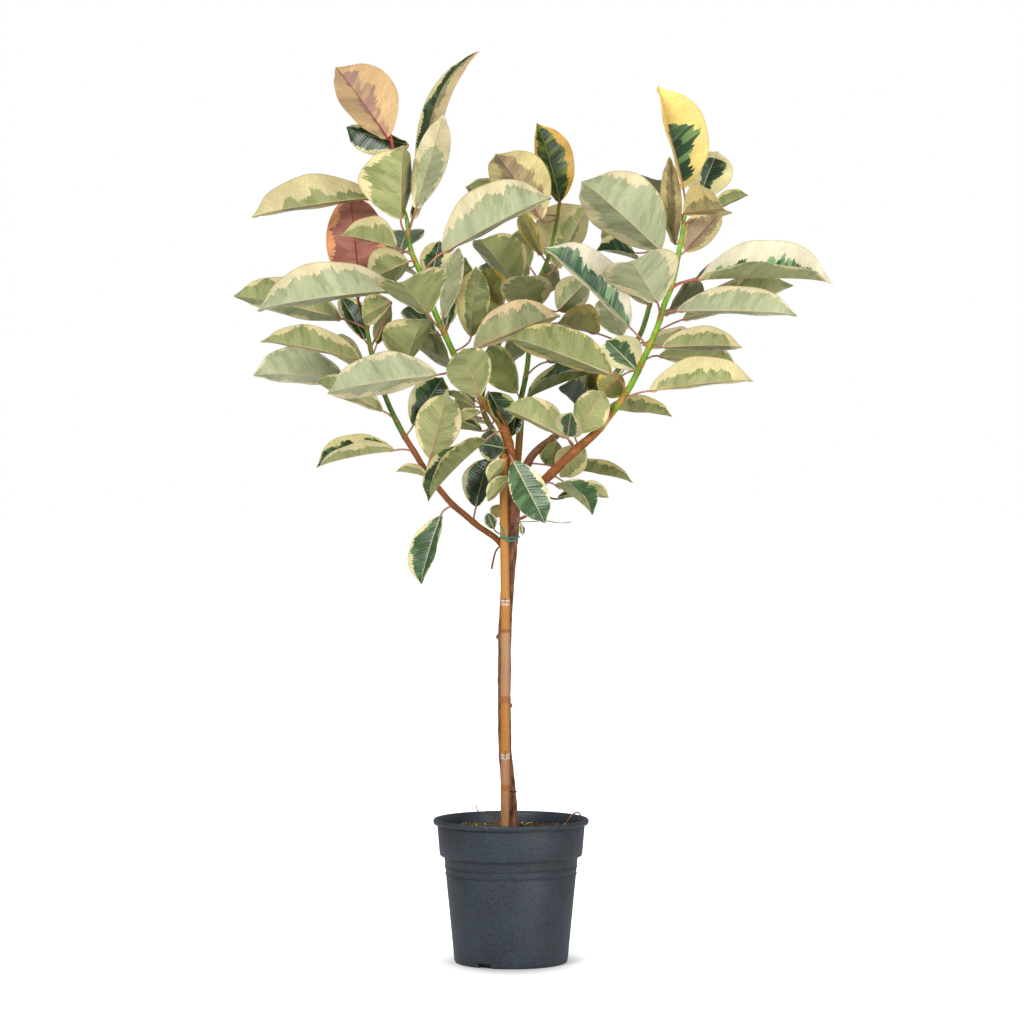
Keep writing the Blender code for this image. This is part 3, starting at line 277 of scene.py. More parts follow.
LEAVES = {
    "low_left_stem": (
        Leaf((454, 505), (441, 515), (420, 584), (-3.2, -6.0), 7.0, OVER, 50, 24),
        Leaf((474, 521), (476, 507), (489, 457), (-1.0, 1.5), 6.4, OVER, 35, 20),
        Leaf((431, 478), (427, 476), (396, 471), (-4.6, -6.0), 3.4, UNDER, 60, 35),
        Leaf((426, 472), (430, 459), (447, 393), (-4.8, -6.4), 7.6, UNDER, 5, 25),
        Leaf((405, 437), (413, 426), (443, 377), (-3.4, -0.5), 6.0, OVER, 10, 20),
        Leaf((414, 451), (396, 450), (316, 466), (-5.6, -9.0), 7.8, OVER, 75, 50, 0.03),
        Leaf((397, 422), (383, 411), (316, 380), (-4.4, -4.0), 6.0, UNDER, 50, 20),
        Leaf((375, 366), (360, 360), (261, 340), (-7.0, -11.5), 8.0, UNDER, 57, 28),
        Leaf((379, 378), (345, 378), (254, 374), (-3.2, -1.0), 9.5, UNDER, 47, 27),
        Leaf((367, 329), (342, 319), (235, 295), (-3.0, 1.0), 8.6, UNDER, 42, 28),
        Leaf((371, 348), (391, 302), (362, 318), (-6.5, -11.0), 5.0, UNDER, 30, 20),
        Leaf((370, 347), (365, 340), (341, 297), (-2.0, 1.5), 5.0, OVER, 30, 30),
        Leaf((372, 357), (377, 344), (391, 305), (-3.6, -1.5), 3.6, UNDER, 10, 50),
        Leaf((358, 300), (360, 289), (350, 192), (-4.3, 2.0), 9.6, UNDER, 5, 15),
        Leaf((382, 388), (405, 365), (423, 318), (-4.0, -8.0), 10.0, UNDER, 40, 32),
        Leaf((376, 369), (366, 366), (330, 352), (-2.0, 9.0), 7.5, UNDER, 50, 20),
    ),
    "tall_left_stem": (
        Leaf((392, 142), (388, 139), (337, 68), (-3.0, -5.0), 11.2, UNDER, 29, 32),
        Leaf((396, 162), (408, 145), (346, 129), (0.5, 3.5), 6.0, OVER, -30, 42),
        Leaf((409, 238), (401, 220), (403, 146), (-5.6, -7.5), 13.0, UNDER, 36, 44),
        Leaf((408, 232), (412, 221), (479, 53), (-3.8, -2.0), 6.6, UNDER, 0, 62, 0.02, 0.115),
        Leaf((409, 236), (416, 209), (444, 116), (-5.4, -6.2), 8.4, UNDER, 0, 58),
        Leaf((405, 196), (374, 198), (252, 216), (-2.6, -6.5), 9.5, UNDER, 52, 36),
        Leaf((412, 258), (396, 248), (341, 235), (-7.0, -13.0), 8.0, UNDER, 55, 36),
        Leaf((411, 250), (400, 253), (408, 230), (-2.5, 6.5), 6.8, OVER, 20, 15),
        Leaf((414, 261), (409, 262), (368, 281), (-5.8, -7.0), 8.0, UNDER, 40, 20),
        Leaf((431, 302), (395, 290), (257, 309), (-8.4, -14.0), 11.5, UNDER, 53, 33),
        Leaf((445, 336), (427, 314), (400, 281), (-7.5, -19.0), 12.0, UNDER, 30, 30),
        Leaf((461, 368), (437, 375), (327, 392), (-8.0, -14.0), 10.0, UNDER, 47, 21),
        Leaf((456, 358), (450, 361), (415, 345), (-3.0, 5.0), 8.0, UNDER, 50, 20),
        Leaf((444, 332), (436, 334), (403, 308), (-1.6, 5.0), 4.0, OVER, 20, 35),
        Leaf((484, 402), (479, 397), (463, 348), (-5.2, -13.0), 7.2, UNDER, -6, 12),
        Leaf((484, 403), (489, 392), (506, 427), (-1.2, -2.0), 6.4, OVER, 47, 23),
        Leaf((484, 403), (476, 407), (443, 393), (-2.2, -1.0), 2.6, UNDER, 60, 30),
        Leaf((488, 407), (481, 412), (456, 426), (-3.0, -3.4), 3.8, UNDER, 60, 30),
        Leaf((496, 416), (482, 431), (450, 428), (0.2, 1.2), 4.5, OVER, 75, 50),
        Leaf((507, 444), (504, 448), (477, 443), (-1.8, -3.6), 5.0, OVER, 10, 10),
        Leaf((504, 430), (486, 440), (427, 500), (-5.0, -11.5), 8.0, OVER, 80, 52, 0.03),
        Leaf((511, 467), (510.5, 478), (487, 501), (-2.9, -5.0), 4.0, UNDER, 50, 25),
        Leaf((510, 457), (505, 460), (488, 481), (-3.6, -5.0), 3.0, UNDER, 30, 25),
        Leaf((510, 452), (513, 461), (545, 523), (-4.4, -8.0), 5.6, OVER, 5, 8),
        Leaf((443, 331), (443, 318), (459, 248), (-5.8, -8.0), 6.0, UNDER, 0, 64),
        Leaf((444, 333), (446, 327), (453, 299), (-3.6, -2.6), 2.6, OVER, 10, 15),
        Leaf((445, 334), (456, 303), (465, 258), (-2.0, 1.0), 5.5, UNDER, 15, 20),
        Leaf((426, 287), (431, 281), (440, 241), (-3.6, -2.0), 4.8, OVER, 10, 15),
        Leaf((422, 276), (443, 253), (551, 196), (-6.6, -13.0), 12.4, UNDER, 49, 39),
        Leaf((453, 352), (471, 337), (476, 267), (-3.6, -3.0), 5.2, UNDER, 5, 10),
        Leaf((456, 358), (474, 349), (560, 314), (-6.4, -11.0), 9.6, UNDER, 50, 30),
        Leaf((416, 262), (410, 268), (385, 262), (-1.0, 9.0), 7.0, UNDER, 55, 20),
    ),
    "middle_stem": (
        Leaf((521, 402), (517, 393), (488, 346), (1.5, -2.5), 6.0, UNDER, -15, 25),
        Leaf((521, 407), (517, 410), (512, 436), (1.0, 0.0), 2.6, OVER, 10, 10),
        Leaf((534, 300), (500, 305), (484, 268), (1.4, 0.4), 5.0, UNDER, 20, 20),
        Leaf((541, 282), (508, 276), (486, 262), (5.0, 9.0), 6.0, OVER, 30, 20),
        Leaf((538, 290), (517, 286), (479, 239), (2.0, -5.0), 9.5, UNDER, 38, 35),
        Leaf((531, 322), (527, 314), (526, 275), (0.0, -8.5), 8.2, UNDER, 0, 14),
        Leaf((543, 276), (556, 268), (588, 206), (5.4, 6.6), 12.0, UNDER, 36, 38),
        Leaf((547, 262), (542, 256), (520, 213), (2.2, 0.0), 5.0, UNDER, 0, 60),
        Leaf((535, 300), (558, 311), (588, 280), (1.0, 2.0), 6.0, UNDER, 20, 20),
        Leaf((522, 401), (526, 398), (594, 372), (0.6, -2.5), 6.8, OVER, 72, 50),
        Leaf((526, 378), (547, 362), (585, 356), (0.4, -3.0), 6.0, UNDER, 50, 20),
        Leaf((557, 216), (512, 207), (466, 187), (4.2, 3.0), 5.6, UNDER, 40, 25),
        Leaf((557, 218), (541, 220), (496, 154), (1.0, -4.5), 10.4, UNDER, 25, 30),
        Leaf((558, 210), (560, 203), (538, 124), (3.4, 1.6), 7.8, OVER, 35, 25),
    ),
    "back_right_stem": (
        Leaf((528, 463), (560, 467), (633, 481), (2.4, 2.0), 5.2, UNDER, 60, 30),
        Leaf((553, 439), (556, 441), (552, 468), (4.6, 2.5), 4.4, UNDER, 10, 15),
        Leaf((602, 392), (592, 370), (597, 393), (2.0, 1.0), 3.4, UNDER, 10, 20),
        Leaf((583, 412), (580, 410), (560, 388), (7.4, -1.0), 8.0, OVER, 50, 40),
        Leaf((632, 349), (598, 334), (556, 322), (5.0, -4.0), 8.0, UNDER, 50, 32),
        Leaf((635, 344), (622, 336), (603, 296), (6.4, 3.0), 5.6, UNDER, 10, 15),
        Leaf((656, 268), (637, 259), (597, 250), (8.0, 3.0), 6.0, OVER, 60, 40),
        Leaf((655, 250), (628, 250), (602, 229), (10.0, 9.0), 5.0, UNDER, 30, 20),
        Leaf((566, 427), (574, 424), (590, 404), (9.0, 18.0), 6.5, UNDER, 60, 20),
        Leaf((600, 395), (594, 388), (570, 362), (11.0, 20.0), 8.0, UNDER, 55, 20),
        Leaf((634, 346), (644, 343), (690, 348), (13.5, 19.0), 8.0, UNDER, 60, 20),
        Leaf((650, 305), (643, 298), (612, 284), (14.0, 23.0), 8.5, UNDER, 60, 20),
        Leaf((652, 236), (645, 228), (612, 205), (13.5, 19.0), 7.5, UNDER, 50, 20),
        Leaf((646, 212), (640, 204), (655, 179), (10.0, 3.0), 6.5, UNDER, 20, 20),
        Leaf((617, 371), (626, 366), (640, 352), (12.5, 21.0), 6.5, UNDER, 60, 20),
    ),
    "tall_right_stem": (
        Leaf((541, 484), (555, 485), (593, 514), (-3.4, -6.0), 7.4, OVER, 70, 45, 0.04),
        Leaf((552, 474), (576, 487), (609, 497), (-1.0, -1.6), 3.8, UNDER, 50, 25),
        Leaf((538, 487), (557, 499), (582, 496), (-0.6, -1.4), 3.0, OVER, 70, 40),
        Leaf((580, 447), (576, 433), (604, 391), (-4.6, -7.5), 5.6, UNDER, -10, 10),
        Leaf((576, 450), (568, 436), (571, 413), (-6.0, -11.5), 4.6, OVER, 20, 10),
        Leaf((575, 450), (566, 438), (504, 408), (-5.6, -9.5), 7.6, UNDER, 47, 37),
        Leaf((584, 443), (584, 447), (560, 477), (-1.0, -0.4), 5.5, UNDER, 20, 15),
        Leaf((638, 371), (622, 376), (600, 395), (-3.0, -1.5), 5.0, UNDER, 10, 15),
        Leaf((626, 393), (612, 375), (508, 336), (-7.6, -14.0), 9.4, UNDER, 48, 24),
        Leaf((641, 365), (636, 370), (606, 340), (-3.2, 0.4), 7.0, OVER, 25, 15),
        Leaf((649, 348), (630, 328), (546, 247), (-7.6, -11.5), 10.4, OVER, 48, 38),
        Leaf((660, 320), (657, 303), (630, 260), (-8.0, -19.0), 12.6, UNDER, 22, 24),
        Leaf((671, 288), (660, 251), (582, 181), (-6.6, -11.0), 13.2, UNDER, 34, 24),
        Leaf((685, 211), (683, 190), (659, 87), (-6.0, -7.5), 11.6, OVER, 43, 43, 0.02, -0.03),
        Leaf((681, 243), (674, 244), (669, 158), (-4.4, -3.6), 6.0, UNDER, 0, 62),
        Leaf((685, 213), (698, 200), (717, 152), (-3.4, -1.0), 8.0, OVER, 10, 20),
        Leaf((684, 226), (684, 214), (725, 209), (-7.4, -14.0), 8.6, UNDER, 50, 30),
        Leaf((684, 225), (712, 211), (747, 195), (-4.2, -3.4), 3.8, UNDER, 50, 35),
        Leaf((678, 257), (684, 252), (722, 212), (-5.6, -5.0), 5.8, UNDER, 20, 30),
        Leaf((671, 290), (697, 280), (832, 281), (-7.6, -11.0), 13.0, OVER, 66, 46, 0.02),
        Leaf((655, 334), (682, 320), (792, 284), (-2.4, -1.0), 7.0, UNDER, 45, 25),
        Leaf((662, 314), (676, 311), (797, 314), (-6.6, -9.0), 8.5, UNDER, 55, 30),
        Leaf((652, 342), (662, 347), (742, 346), (-7.4, -11.0), 6.6, UNDER, 50, 25),
        Leaf((642, 364), (658, 356), (737, 366), (-3.4, -2.4), 6.5, UNDER, 50, 25),
        Leaf((622, 400), (649, 391), (753, 379), (-7.2, -11.0), 9.0, UNDER, 53, 33),
        Leaf((601, 427), (606, 409), (672, 415), (-2.0, -2.6), 5.6, UNDER, 58, 30),
        Leaf((660, 318), (668, 310), (705, 296), (-3.0, 6.0), 7.5, UNDER, 55, 20),
        Leaf((672, 286), (694, 279), (758, 264), (-3.0, 5.0), 6.0, UNDER, 60, 20),
    ),
    "back_stem": (
        Leaf((482, 405), (475, 400), (452, 372), (9.4, 17.0), 8.0, UNDER, 50, 20),
        Leaf((486, 419), (478, 417), (455, 410), (8.0, 15.0), 7.5, UNDER, 55, 20),
        Leaf((488, 372), (500, 366), (524, 352), (11.0, 20.0), 8.0, UNDER, 55, 20),
        Leaf((504, 334), (498, 322), (478, 290), (12.0, 20.0), 8.5, UNDER, 45, 20),
        Leaf((522, 304), (530, 297), (560, 285), (13.0, 22.0), 8.5, UNDER, 55, 20),
        Leaf((538, 280), (530, 268), (506, 240), (13.0, 20.0), 8.0, UNDER, 45, 20),
        Leaf((549, 254), (554, 244), (566, 214), (13.0, 18.0), 8.0, UNDER, 40, 20),
    ),
}

# Small leaves that sprout straight from the trunk
TRUNK_LEAVES = (
    Leaf((510, 536), (494, 529), (487, 513), (0.3, -0.2), 2.0, OVER, 5, 8),
    Leaf((512, 520), (501, 505), (493, 517), (0.6, 0.4), 2.2, UNDER, 5, 10),
    Leaf((513, 524), (521, 524), (523, 535), (0.6, 0.2), 1.0, OVER, 5, 10),
)

# Things that lie on or stand in the soil
ROOT_LOOP = (
    (565.5, 838, 1.6, 1.1), (565.8, 828, 1.6, 1.1), (568, 821, 1.7, 1.1), (571.5, 816.5, 1.8, 1.1),
    (576, 813.5, 1.9, 1.1), (579.5, 814, 2.0, 1.1), (581, 818, 2.1, 1.0), (580, 824, 2.2, 1.0),
    (577.5, 829, 2.2, 1.0), (577, 838, 2.2, 1.0),
)
DRY_TWIG = (
    (498.5, 838, 3.4, 0.8), (498.5, 824, 3.4, 0.8), (494, 817, 3.6, 0.8), (486, 813.5, 3.8, 0.8),
    (478, 812, 4.0, 0.8), (476.5, 806, 4.0, 0.8),
)

# Ties
TIE_RADIUS = 1.1 * MM
TIE_GAP = 0.7 * MM
TIE_HEIGHT_Y = 537.5
TIE_TAIL = ((504.3, 538.0, -2.2, 1.1), (503.4, 534.5, -2.35, 1.1), (501.6, 528, -2.5, 1.0),
            (498.8, 522.5, -2.6, 0.8))
TIE_LOOP_EYE = ((504.3, 537.0, -2.2, 1.1), (507.5, 540.5, -2.35, 1.1), (512, 541, -2.1, 1.0),
                (517, 539.5, -1.6, 0.9))
STRING_RADIUS = 0.7 * MM
STRING_GAP = 0.6 * MM
STRING_TILT = 1.5 * MM
STRING_STEPS = 48
STRING_HEIGHT_Y = 791.5

# Finishes of a blade's two faces: middle, patches in the middle, margin and midrib, in sRGB
FINISH = {
    "sage": ("A3A76F", "868E56", "E0D09A", "C6A878"),
    "pale": ("B9BE96", "A0A87A", "E6D8AC", "D0BA90"),
    # The olive finish is sage painted darker for leaves that lie in shade: painted shade
    "olive": ("868C56", "656E3C", "C8BA78", "9C8050"),
    "butter": ("A8AC74", "8C9459", "E4D69C", "C8A26C"),
    "lemon": ("A0A36A", "7C884C", "E0CC80", "D0BE92"),
    "golden": ("A8A664", "888C4A", "DEBE62", "C08A56"),
    "peach": ("B2B382", "929869", "ECD09E", "C89C6C"),
    "salmon": ("A07C6C", "CCA876", "D0AC7A", "9E2A34"),
    "pink": ("A46A5A", "8E5048", "DA9464", "8A2A34"),
    "mauve": ("A48E70", "C0AC7C", "E8D696", "9E5048"),
    "dark": ("22381F", "4A6A3E", "D0C68C", "98A674"),
    "grey": ("3A5834", "5E7E54", "DCD2A0", "B8B686"),
    "white": ("245028", "84A670", "DAD0B2", "B8B686"),
    "tan": ("AA9E6C", "928458", "E0C988", "B87E54"),
    "yellow": ("1F4428", "7A9A58", "EED27A", "D88A70"),
    "orange": ("243C1B", "74843A", "D8A840", "80883A"),
}

# A blade's finishes underneath and on top, and how far the green reaches towards the edge in
# the half that lies upwards in the front view and in the other half, as shares of each half.
# The green runs from start to stop along the blade. A bar parts the finishes of the two halves.
Dress = namedtuple("Dress", "under over high low start stop stalk", defaults=(0.0, 1.2, "B07A5C"))
PLAIN = Dress("sage", "grey", 0.75, 0.80)
# The next two dresses paint shade on leaves at the back and deep in the crown
SHADED = Dress("olive", "dark", 0.82, 0.84)
INNER_SHADED = Dress("olive", "dark", 0.85, 0.85)
SAGE = Dress("sage", "grey", 0.85, 0.85)

# An olive underside is painted shade on a leaf that lies in shade
DRESSES = {
    "low_left_stem": (
        Dress("sage", "grey", 0.86, 0.92), Dress("sage", "dark", 0.80, 0.80), PLAIN,
        Dress("sage", "dark", 0.90, 0.85), Dress("sage", "dark", 0.70, 0.70),
        Dress("butter", "dark", 0.70, 0.55), PLAIN, Dress("sage", "grey", 0.70, 0.85),
        Dress("pale", "grey", 0.85, 0.90), Dress("sage", "grey", 0.85, 0.80), PLAIN,
        Dress("sage", "dark", 0.80, 0.80), PLAIN,
        Dress("pink", "dark", 0.90, 0.75, stalk="9A3438"), PLAIN, PLAIN,
    ),
    "tall_left_stem": (
        Dress("salmon", "grey", 0.42, 0.18, stalk="A82C36"), Dress("golden", "dark", 0.80, 0.80),
        Dress("sage", "grey", 0.80, 0.92), Dress("dark|peach", "dark", 0.78, 0.30),
        Dress("pale", "dark", 0.60, 0.85, stop=0.66), Dress("sage", "grey", 0.45, 0.85, stop=0.74),
        Dress("sage", "grey", 0.62, 0.90), SAGE,
        Dress("sage", "grey", 0.50, 0.85), Dress("pale", "grey", 0.70, 0.92),
        Dress("sage", "grey", 0.88, 0.92), Dress("pale", "grey", 0.90, 0.60),
        INNER_SHADED, Dress("sage", "grey", 0.80, 0.80),
        Dress("sage", "grey", 0.92, 0.92), Dress("sage", "dark", 0.85, 0.85), PLAIN, PLAIN,
        Dress("sage", "dark", 0.75, 0.75), INNER_SHADED, Dress("olive", "dark", 0.90, 0.90), PLAIN, PLAIN,
        Dress("sage", "grey", 0.94, 0.94),
        Dress("pale", "grey", 0.80, 0.80), Dress("sage", "grey", 0.80, 0.80),
        Dress("olive", "dark", 0.90, 0.90), Dress("sage", "dark", 0.60, 0.60),
        Dress("pale", "grey", 0.66, 0.92, stalk="C4826A"), Dress("olive", "grey", 0.55, 0.85),
        Dress("peach", "grey", 0.85, 0.55, stop=0.82), PLAIN,
    ),
    "middle_stem": (
        PLAIN, Dress("sage", "dark", 0.85, 0.85), Dress("golden", "grey", 0.70, 0.60),
        Dress("sage", "dark", 0.85, 0.85), Dress("sage", "grey", 0.90, 0.90), PLAIN,
        Dress("butter", "grey", 0.36, 0.22), Dress("golden", "grey", 0.70, 0.70),
        Dress("pale", "grey", 0.70, 0.80), INNER_SHADED,
        Dress("olive", "grey", 0.85, 0.85), PLAIN, Dress("mauve", "grey", 0.60, 0.62),
        Dress("golden", "orange", 0.55, 0.80),
    ),
    "back_right_stem": (
        INNER_SHADED, INNER_SHADED, Dress("olive", "grey", 0.85, 0.85), Dress("olive", "dark", 0.80, 0.80),
        Dress("golden", "grey", 0.60, 0.85), Dress("pale", "grey", 0.85, 0.85),
        Dress("sage", "dark", 0.80, 0.80), PLAIN, SHADED, SHADED, PLAIN, SHADED, PLAIN,
        Dress("olive", "grey", 0.85, 0.85), SHADED,
    ),
    "tall_right_stem": (
        Dress("sage", "grey", 0.93, 0.93), PLAIN, Dress("olive", "dark", 0.80, 0.80, stalk="3A2A22"),
        Dress("sage", "grey", 0.92, 0.92), Dress("golden", "grey", 0.52, 0.60),
        Dress("sage", "grey", 0.85, 0.90), Dress("butter", "grey", 0.60, 0.70),
        Dress("golden", "grey", 0.70, 0.70), Dress("lemon", "dark", 0.85, 0.80),
        Dress("butter", "grey", 0.55, 0.55), Dress("golden", "white", 0.50, 0.50),
        Dress("pale", "grey", 0.80, 0.72, stalk="A8685A"),
        Dress("pale", "grey", 0.88, 0.70, stalk="A8584C"),
        Dress("golden", "yellow", 0.62, 0.45, 0.06, 0.62), Dress("tan", "grey", 0.40, 0.55),
        Dress("golden", "dark", 0.38, 0.50, 0.0, 0.86), Dress("tan", "grey", 0.45, 0.45, stalk="A8584C"),
        INNER_SHADED, Dress("mauve", "grey", 0.70, 0.55),
        Dress("sage", "white", 0.42, 0.85, 0.10, 0.92, "C06058"), SAGE,
        Dress("pale", "grey", 0.80, 0.85), Dress("sage", "grey", 0.70, 0.85, stop=0.85),
        Dress("sage", "grey", 0.85, 0.80), Dress("butter", "grey", 0.50, 0.80, 0.06, 0.80),
        INNER_SHADED, INNER_SHADED, PLAIN,
    ),
    "back_stem": (SHADED,) * 7,
}
TRUNK_DRESSES = (Dress("golden", "grey", 0.80, 0.80),) * 2 + (PLAIN,)
TRUNK_STALK = "9A8A4A"

# Colour of a stem's skin from its foot upwards: height on the front view, sRGB, share of wood
STEM_SKINS = {
    "low_left_stem": ((540, "8C5428", 1), (450, "8C5428", 1), (438, "7C4C22", 1), (428, "4E6E20", 0),
                      (400, "44601C", 0), (330, "66862A", 0), (296, "A04A3A", 0)),
    "tall_left_stem": ((470, "945626", 1), (420, "A0602A", 1), (404, "98682E", 1), (394, "769C22", 0),
                       (300, "769C22", 0), (200, "749A22", 0), (150, "A8403A", 0)),
    "middle_stem": ((466, "9A5A26", 1), (440, "86602C", 1), (420, "5C7A20", 0), (200, "6C8A22", 0)),
    "back_right_stem": ((467, "7A4A30", 1), (430, "7A5A35", 1), (400, "5A7A2A", 0), (200, "6C842A", 0)),
    "tall_right_stem": ((492, "8A4E24", 1), (430, "98602C", 1), (424, "B8A060", 1), (414, "B8702C", 0),
                        (408, "769C22", 0), (399, "B08030", 0), (394, "769C22", 0), (198, "82AC26", 0)),
    "back_stem": ((462, "7A5A30", 1), (400, "5A6A2A", 0), (240, "6C842A", 0)),
}

# Attributes of a leafy stem's skin: a blade's own places, then its four colours and the stem's
PLACE_LAYERS = ("blade_place", "blade_share")
COLOUR_LAYERS = ("middle_colour", "patch_colour", "margin_colour", "rib_colour", "stem_colour")


def linear(hex_colour):
    """An sRGB hex colour as linear light, with full alpha."""
    channels = [int(hex_colour[i:i + 2], 16) / 255.0 for i in (0, 2, 4)]
    return (*[c / 12.92 if c <= 0.04045 else ((c + 0.055) / 1.055) ** 2.4 for c in channels], 1.0)


def add_node(tree, kind, inputs=(), stops=(), **settings):
    """Adds a node with its settings, inputs and, for a colour ramp, its stops.

    inputs gives (socket, value or node or another's socket). Math takes its values at 0, 1 and 2,
    Mix its share at 0 and its colours at 6 and 7, and Map Range its value at 0, the range that it
    comes from at 1 and 2, and the range that it goes to at 3 and 4. stops gives (place, sRGB).
    """
    node = tree.nodes.new(kind)
    for name, value in settings.items():
        setattr(node, name, value)
    for name, value in inputs:
        if isinstance(value, bpy.types.Node):
            value = next(socket for socket in value.outputs if socket.enabled)
        if isinstance(value, bpy.types.NodeSocket):
            tree.links.new(value, node.inputs[name])
        else:
            node.inputs[name].default_value = value
    for number, (share, colour) in enumerate(stops):
        points = node.color_ramp.elements
        if 0 < number < len(stops) - 1:
            points.new(share).color = linear(colour)
        else:
            points[0 if number == 0 else -1].position = share
            points[0 if number == 0 else -1].color = linear(colour)
    return node


def new_material(name, **settings):
    """A material with its shader's own sockets set; gives it, its node tree and the shader."""
    material = bpy.data.materials.new(name)
    material.use_nodes = True
    shader = material.node_tree.nodes["Principled BSDF"]
    for socket, value in settings.items():
        shader.inputs[socket.replace("_", " ")].default_value = value
    return material, material.node_tree, shader


def vein_places(tree, spot):
    """Where a spot lies on a blade: off the midrib, up the side veins, and a place for patterns."""
    off = add_node(tree, "ShaderNodeMath", [(0, spot.outputs["X"])], operation="ABSOLUTE")
    right = add_node(tree, "ShaderNodeMath", [(0, spot.outputs["X"]), (1, 0.0)], operation="GREATER_THAN")
    slant = add_node(tree, "ShaderNodeMath", [(0, off), (1, -VEIN_SLANT), (2, spot.outputs["Y"])],
                     operation="MULTIPLY_ADD")
    stretched = add_node(tree, "ShaderNodeMath", [(0, off), (1, 0.22)], operation="MULTIPLY")
    half = add_node(tree, "ShaderNodeMath", [(0, right), (1, HALF_SHIFT), (2, spot.outputs["Z"])],
                    operation="MULTIPLY_ADD")
    veins = add_node(tree, "ShaderNodeCombineXYZ", [(0, slant), (1, stretched), (2, half)])
    return off, slant, veins


def green_masks(tree, rank, grain):
    """Share of the margin's colour, and of the patches' colour with painted fold shade, in the green."""
    shift = rank.outputs["Y"]
    for name, reach in (("bays", 0.7), ("tongues", 0.55), ("teeth", 0.3)):
        shift = add_node(tree, "ShaderNodeMath", [(0, grain[name]), (1, reach), (2, shift)],
                         operation="MULTIPLY_ADD")
    past = add_node(tree, "ShaderNodeMath", [(0, rank.outputs["X"]), (1, shift)], operation="SUBTRACT")
    rim = add_node(tree, "ShaderNodeMapRange", [(0, past), (1, -0.79), (2, -0.76), (3, 0.0), (4, 1.0)])
    # Broken patches crowd along the border of the green and thin out towards the midrib
    crowd = add_node(tree, "ShaderNodeMath", [(0, past), (1, 0.28), (2, grain["clumps"])],
                     operation="MULTIPLY_ADD")
    flecks = add_node(tree, "ShaderNodeMath", [(0, grain["teeth"]), (1, 0.12), (2, crowd)],
                      operation="MULTIPLY_ADD")
    spots = add_node(tree, "ShaderNodeMapRange", [(0, flecks), (1, 0.335), (2, 0.375), (3, 0.0), (4, 0.85)])
    # Painted shade of folds along the side veins: soft streaks of the patches' colour
    streak = add_node(tree, "ShaderNodeMapRange", [(0, grain["fold_shade"]), (1, 0.48), (2, 0.72),
                                                   (3, 0.0), (4, 0.75)])
    patch = add_node(tree, "ShaderNodeMath", [(0, spots), (1, streak)], operation="MAXIMUM")
    return rim, patch


def blade_material(name, roughness, gloss, vein, puff):
    """A living fig leaf: waxy skin, green broken into tongues that run along the side veins."""
    material, tree, shader = new_material(name, Roughness=roughness, IOR=1.45, Specular_IOR_Level=gloss)
    place, share = [add_node(tree, "ShaderNodeAttribute", attribute_name=layer).outputs["Vector"]
                    for layer in PLACE_LAYERS]
    spot = add_node(tree, "ShaderNodeSeparateXYZ", [(0, place)])
    rank = add_node(tree, "ShaderNodeSeparateXYZ", [(0, share)])
    off, slant, veins = vein_places(tree, spot)
    grain = {}
    for label, (scale, detail) in VEIN_GRAINS.items():
        patches = add_node(tree, "ShaderNodeTexNoise", [("Vector", veins), ("Scale", scale),
                                                        ("Detail", detail)])
        grain[label] = patches.outputs["Fac"]
    rim, patch = green_masks(tree, rank, grain)
    # Side veins are a little paler than the skin between them
    sway = add_node(tree, "ShaderNodeMath", [(0, grain["tongues"]), (1, 0.006), (2, slant)],
                    operation="MULTIPLY_ADD")
    turns = add_node(tree, "ShaderNodeMath", [(0, sway), (1, 2.0 * math.pi / VEIN_STEP)],
                     operation="MULTIPLY")
    wave = add_node(tree, "ShaderNodeMath", [(0, turns)], operation="COSINE")
    thin = add_node(tree, "ShaderNodeMapRange", [(0, wave), (1, 0.6), (2, 1.0), (3, 0.0), (4, vein)])
    # The midrib narrows from 3 mm at the stalk to under 1 mm at the tip
    width = add_node(tree, "ShaderNodeMapRange", [(0, rank.outputs["Z"]), (1, 0.0), (2, 1.0),
                                                  (3, 0.0015), (4, 0.0004)])
    inside = add_node(tree, "ShaderNodeMath", [(0, off), (1, width)], operation="LESS_THAN")
    # A hard brownish line runs round the blade's edge
    line = add_node(tree, "ShaderNodeMapRange", [(0, rank.outputs["X"]), (1, 0.955), (2, 0.99),
                                                 (3, 0.0), (4, 0.45)])
    # Rare brown specks, 1 to 2 mm across
    grit = add_node(tree, "ShaderNodeTexNoise", [("Vector", place), ("Scale", 160.0)])
    specks = add_node(tree, "ShaderNodeMapRange", [(0, grit.outputs["Fac"]), (1, 0.765), (2, 0.80),
                                                   (3, 0.0), (4, 0.8)])
    middle, second, margin, rib = [
        add_node(tree, "ShaderNodeAttribute", attribute_name=layer).outputs["Color"]
        for layer in COLOUR_LAYERS[:4]]
    colour = middle
    for part, over in ((patch, second), (rim, margin), (thin, margin), (inside, rib),
                       (line, linear(EDGE_LINE)), (specks, linear(SPECK))):
        mixed = add_node(tree, "ShaderNodeMix", [(0, part), (6, colour), (7, over)], data_type="RGBA")
        colour = mixed.outputs[2]
    # Painted shade and light: soft clouds and fine streaks make the skin darker and lighter
    shade = add_node(tree, "ShaderNodeMath", [(0, grain["fibres"]), (1, 0.5), (2, grain["shade_clouds"])],
                     operation="MULTIPLY_ADD")
    value = add_node(tree, "ShaderNodeMapRange", [(0, shade), (1, 0.5), (2, 1.0), (3, 0.75), (4, 1.19)])
    toned = add_node(tree, "ShaderNodeHueSaturation", [("Color", colour), ("Value", value)])
    tree.links.new(toned.outputs[0], shader.inputs["Base Color"])
    # The skin swells softly between the side veins, which stand out finely over that
    swell = add_node(tree, "ShaderNodeBump", [("Strength", puff), ("Distance", 0.009),
                                              ("Height", grain["swells"])])
    bump = add_node(tree, "ShaderNodeBump", [("Strength", 0.2), ("Distance", 0.0004), ("Height", wave),
                                             ("Normal", swell)])
    tree.links.new(bump.outputs[0], shader.inputs["Normal"])
    return material


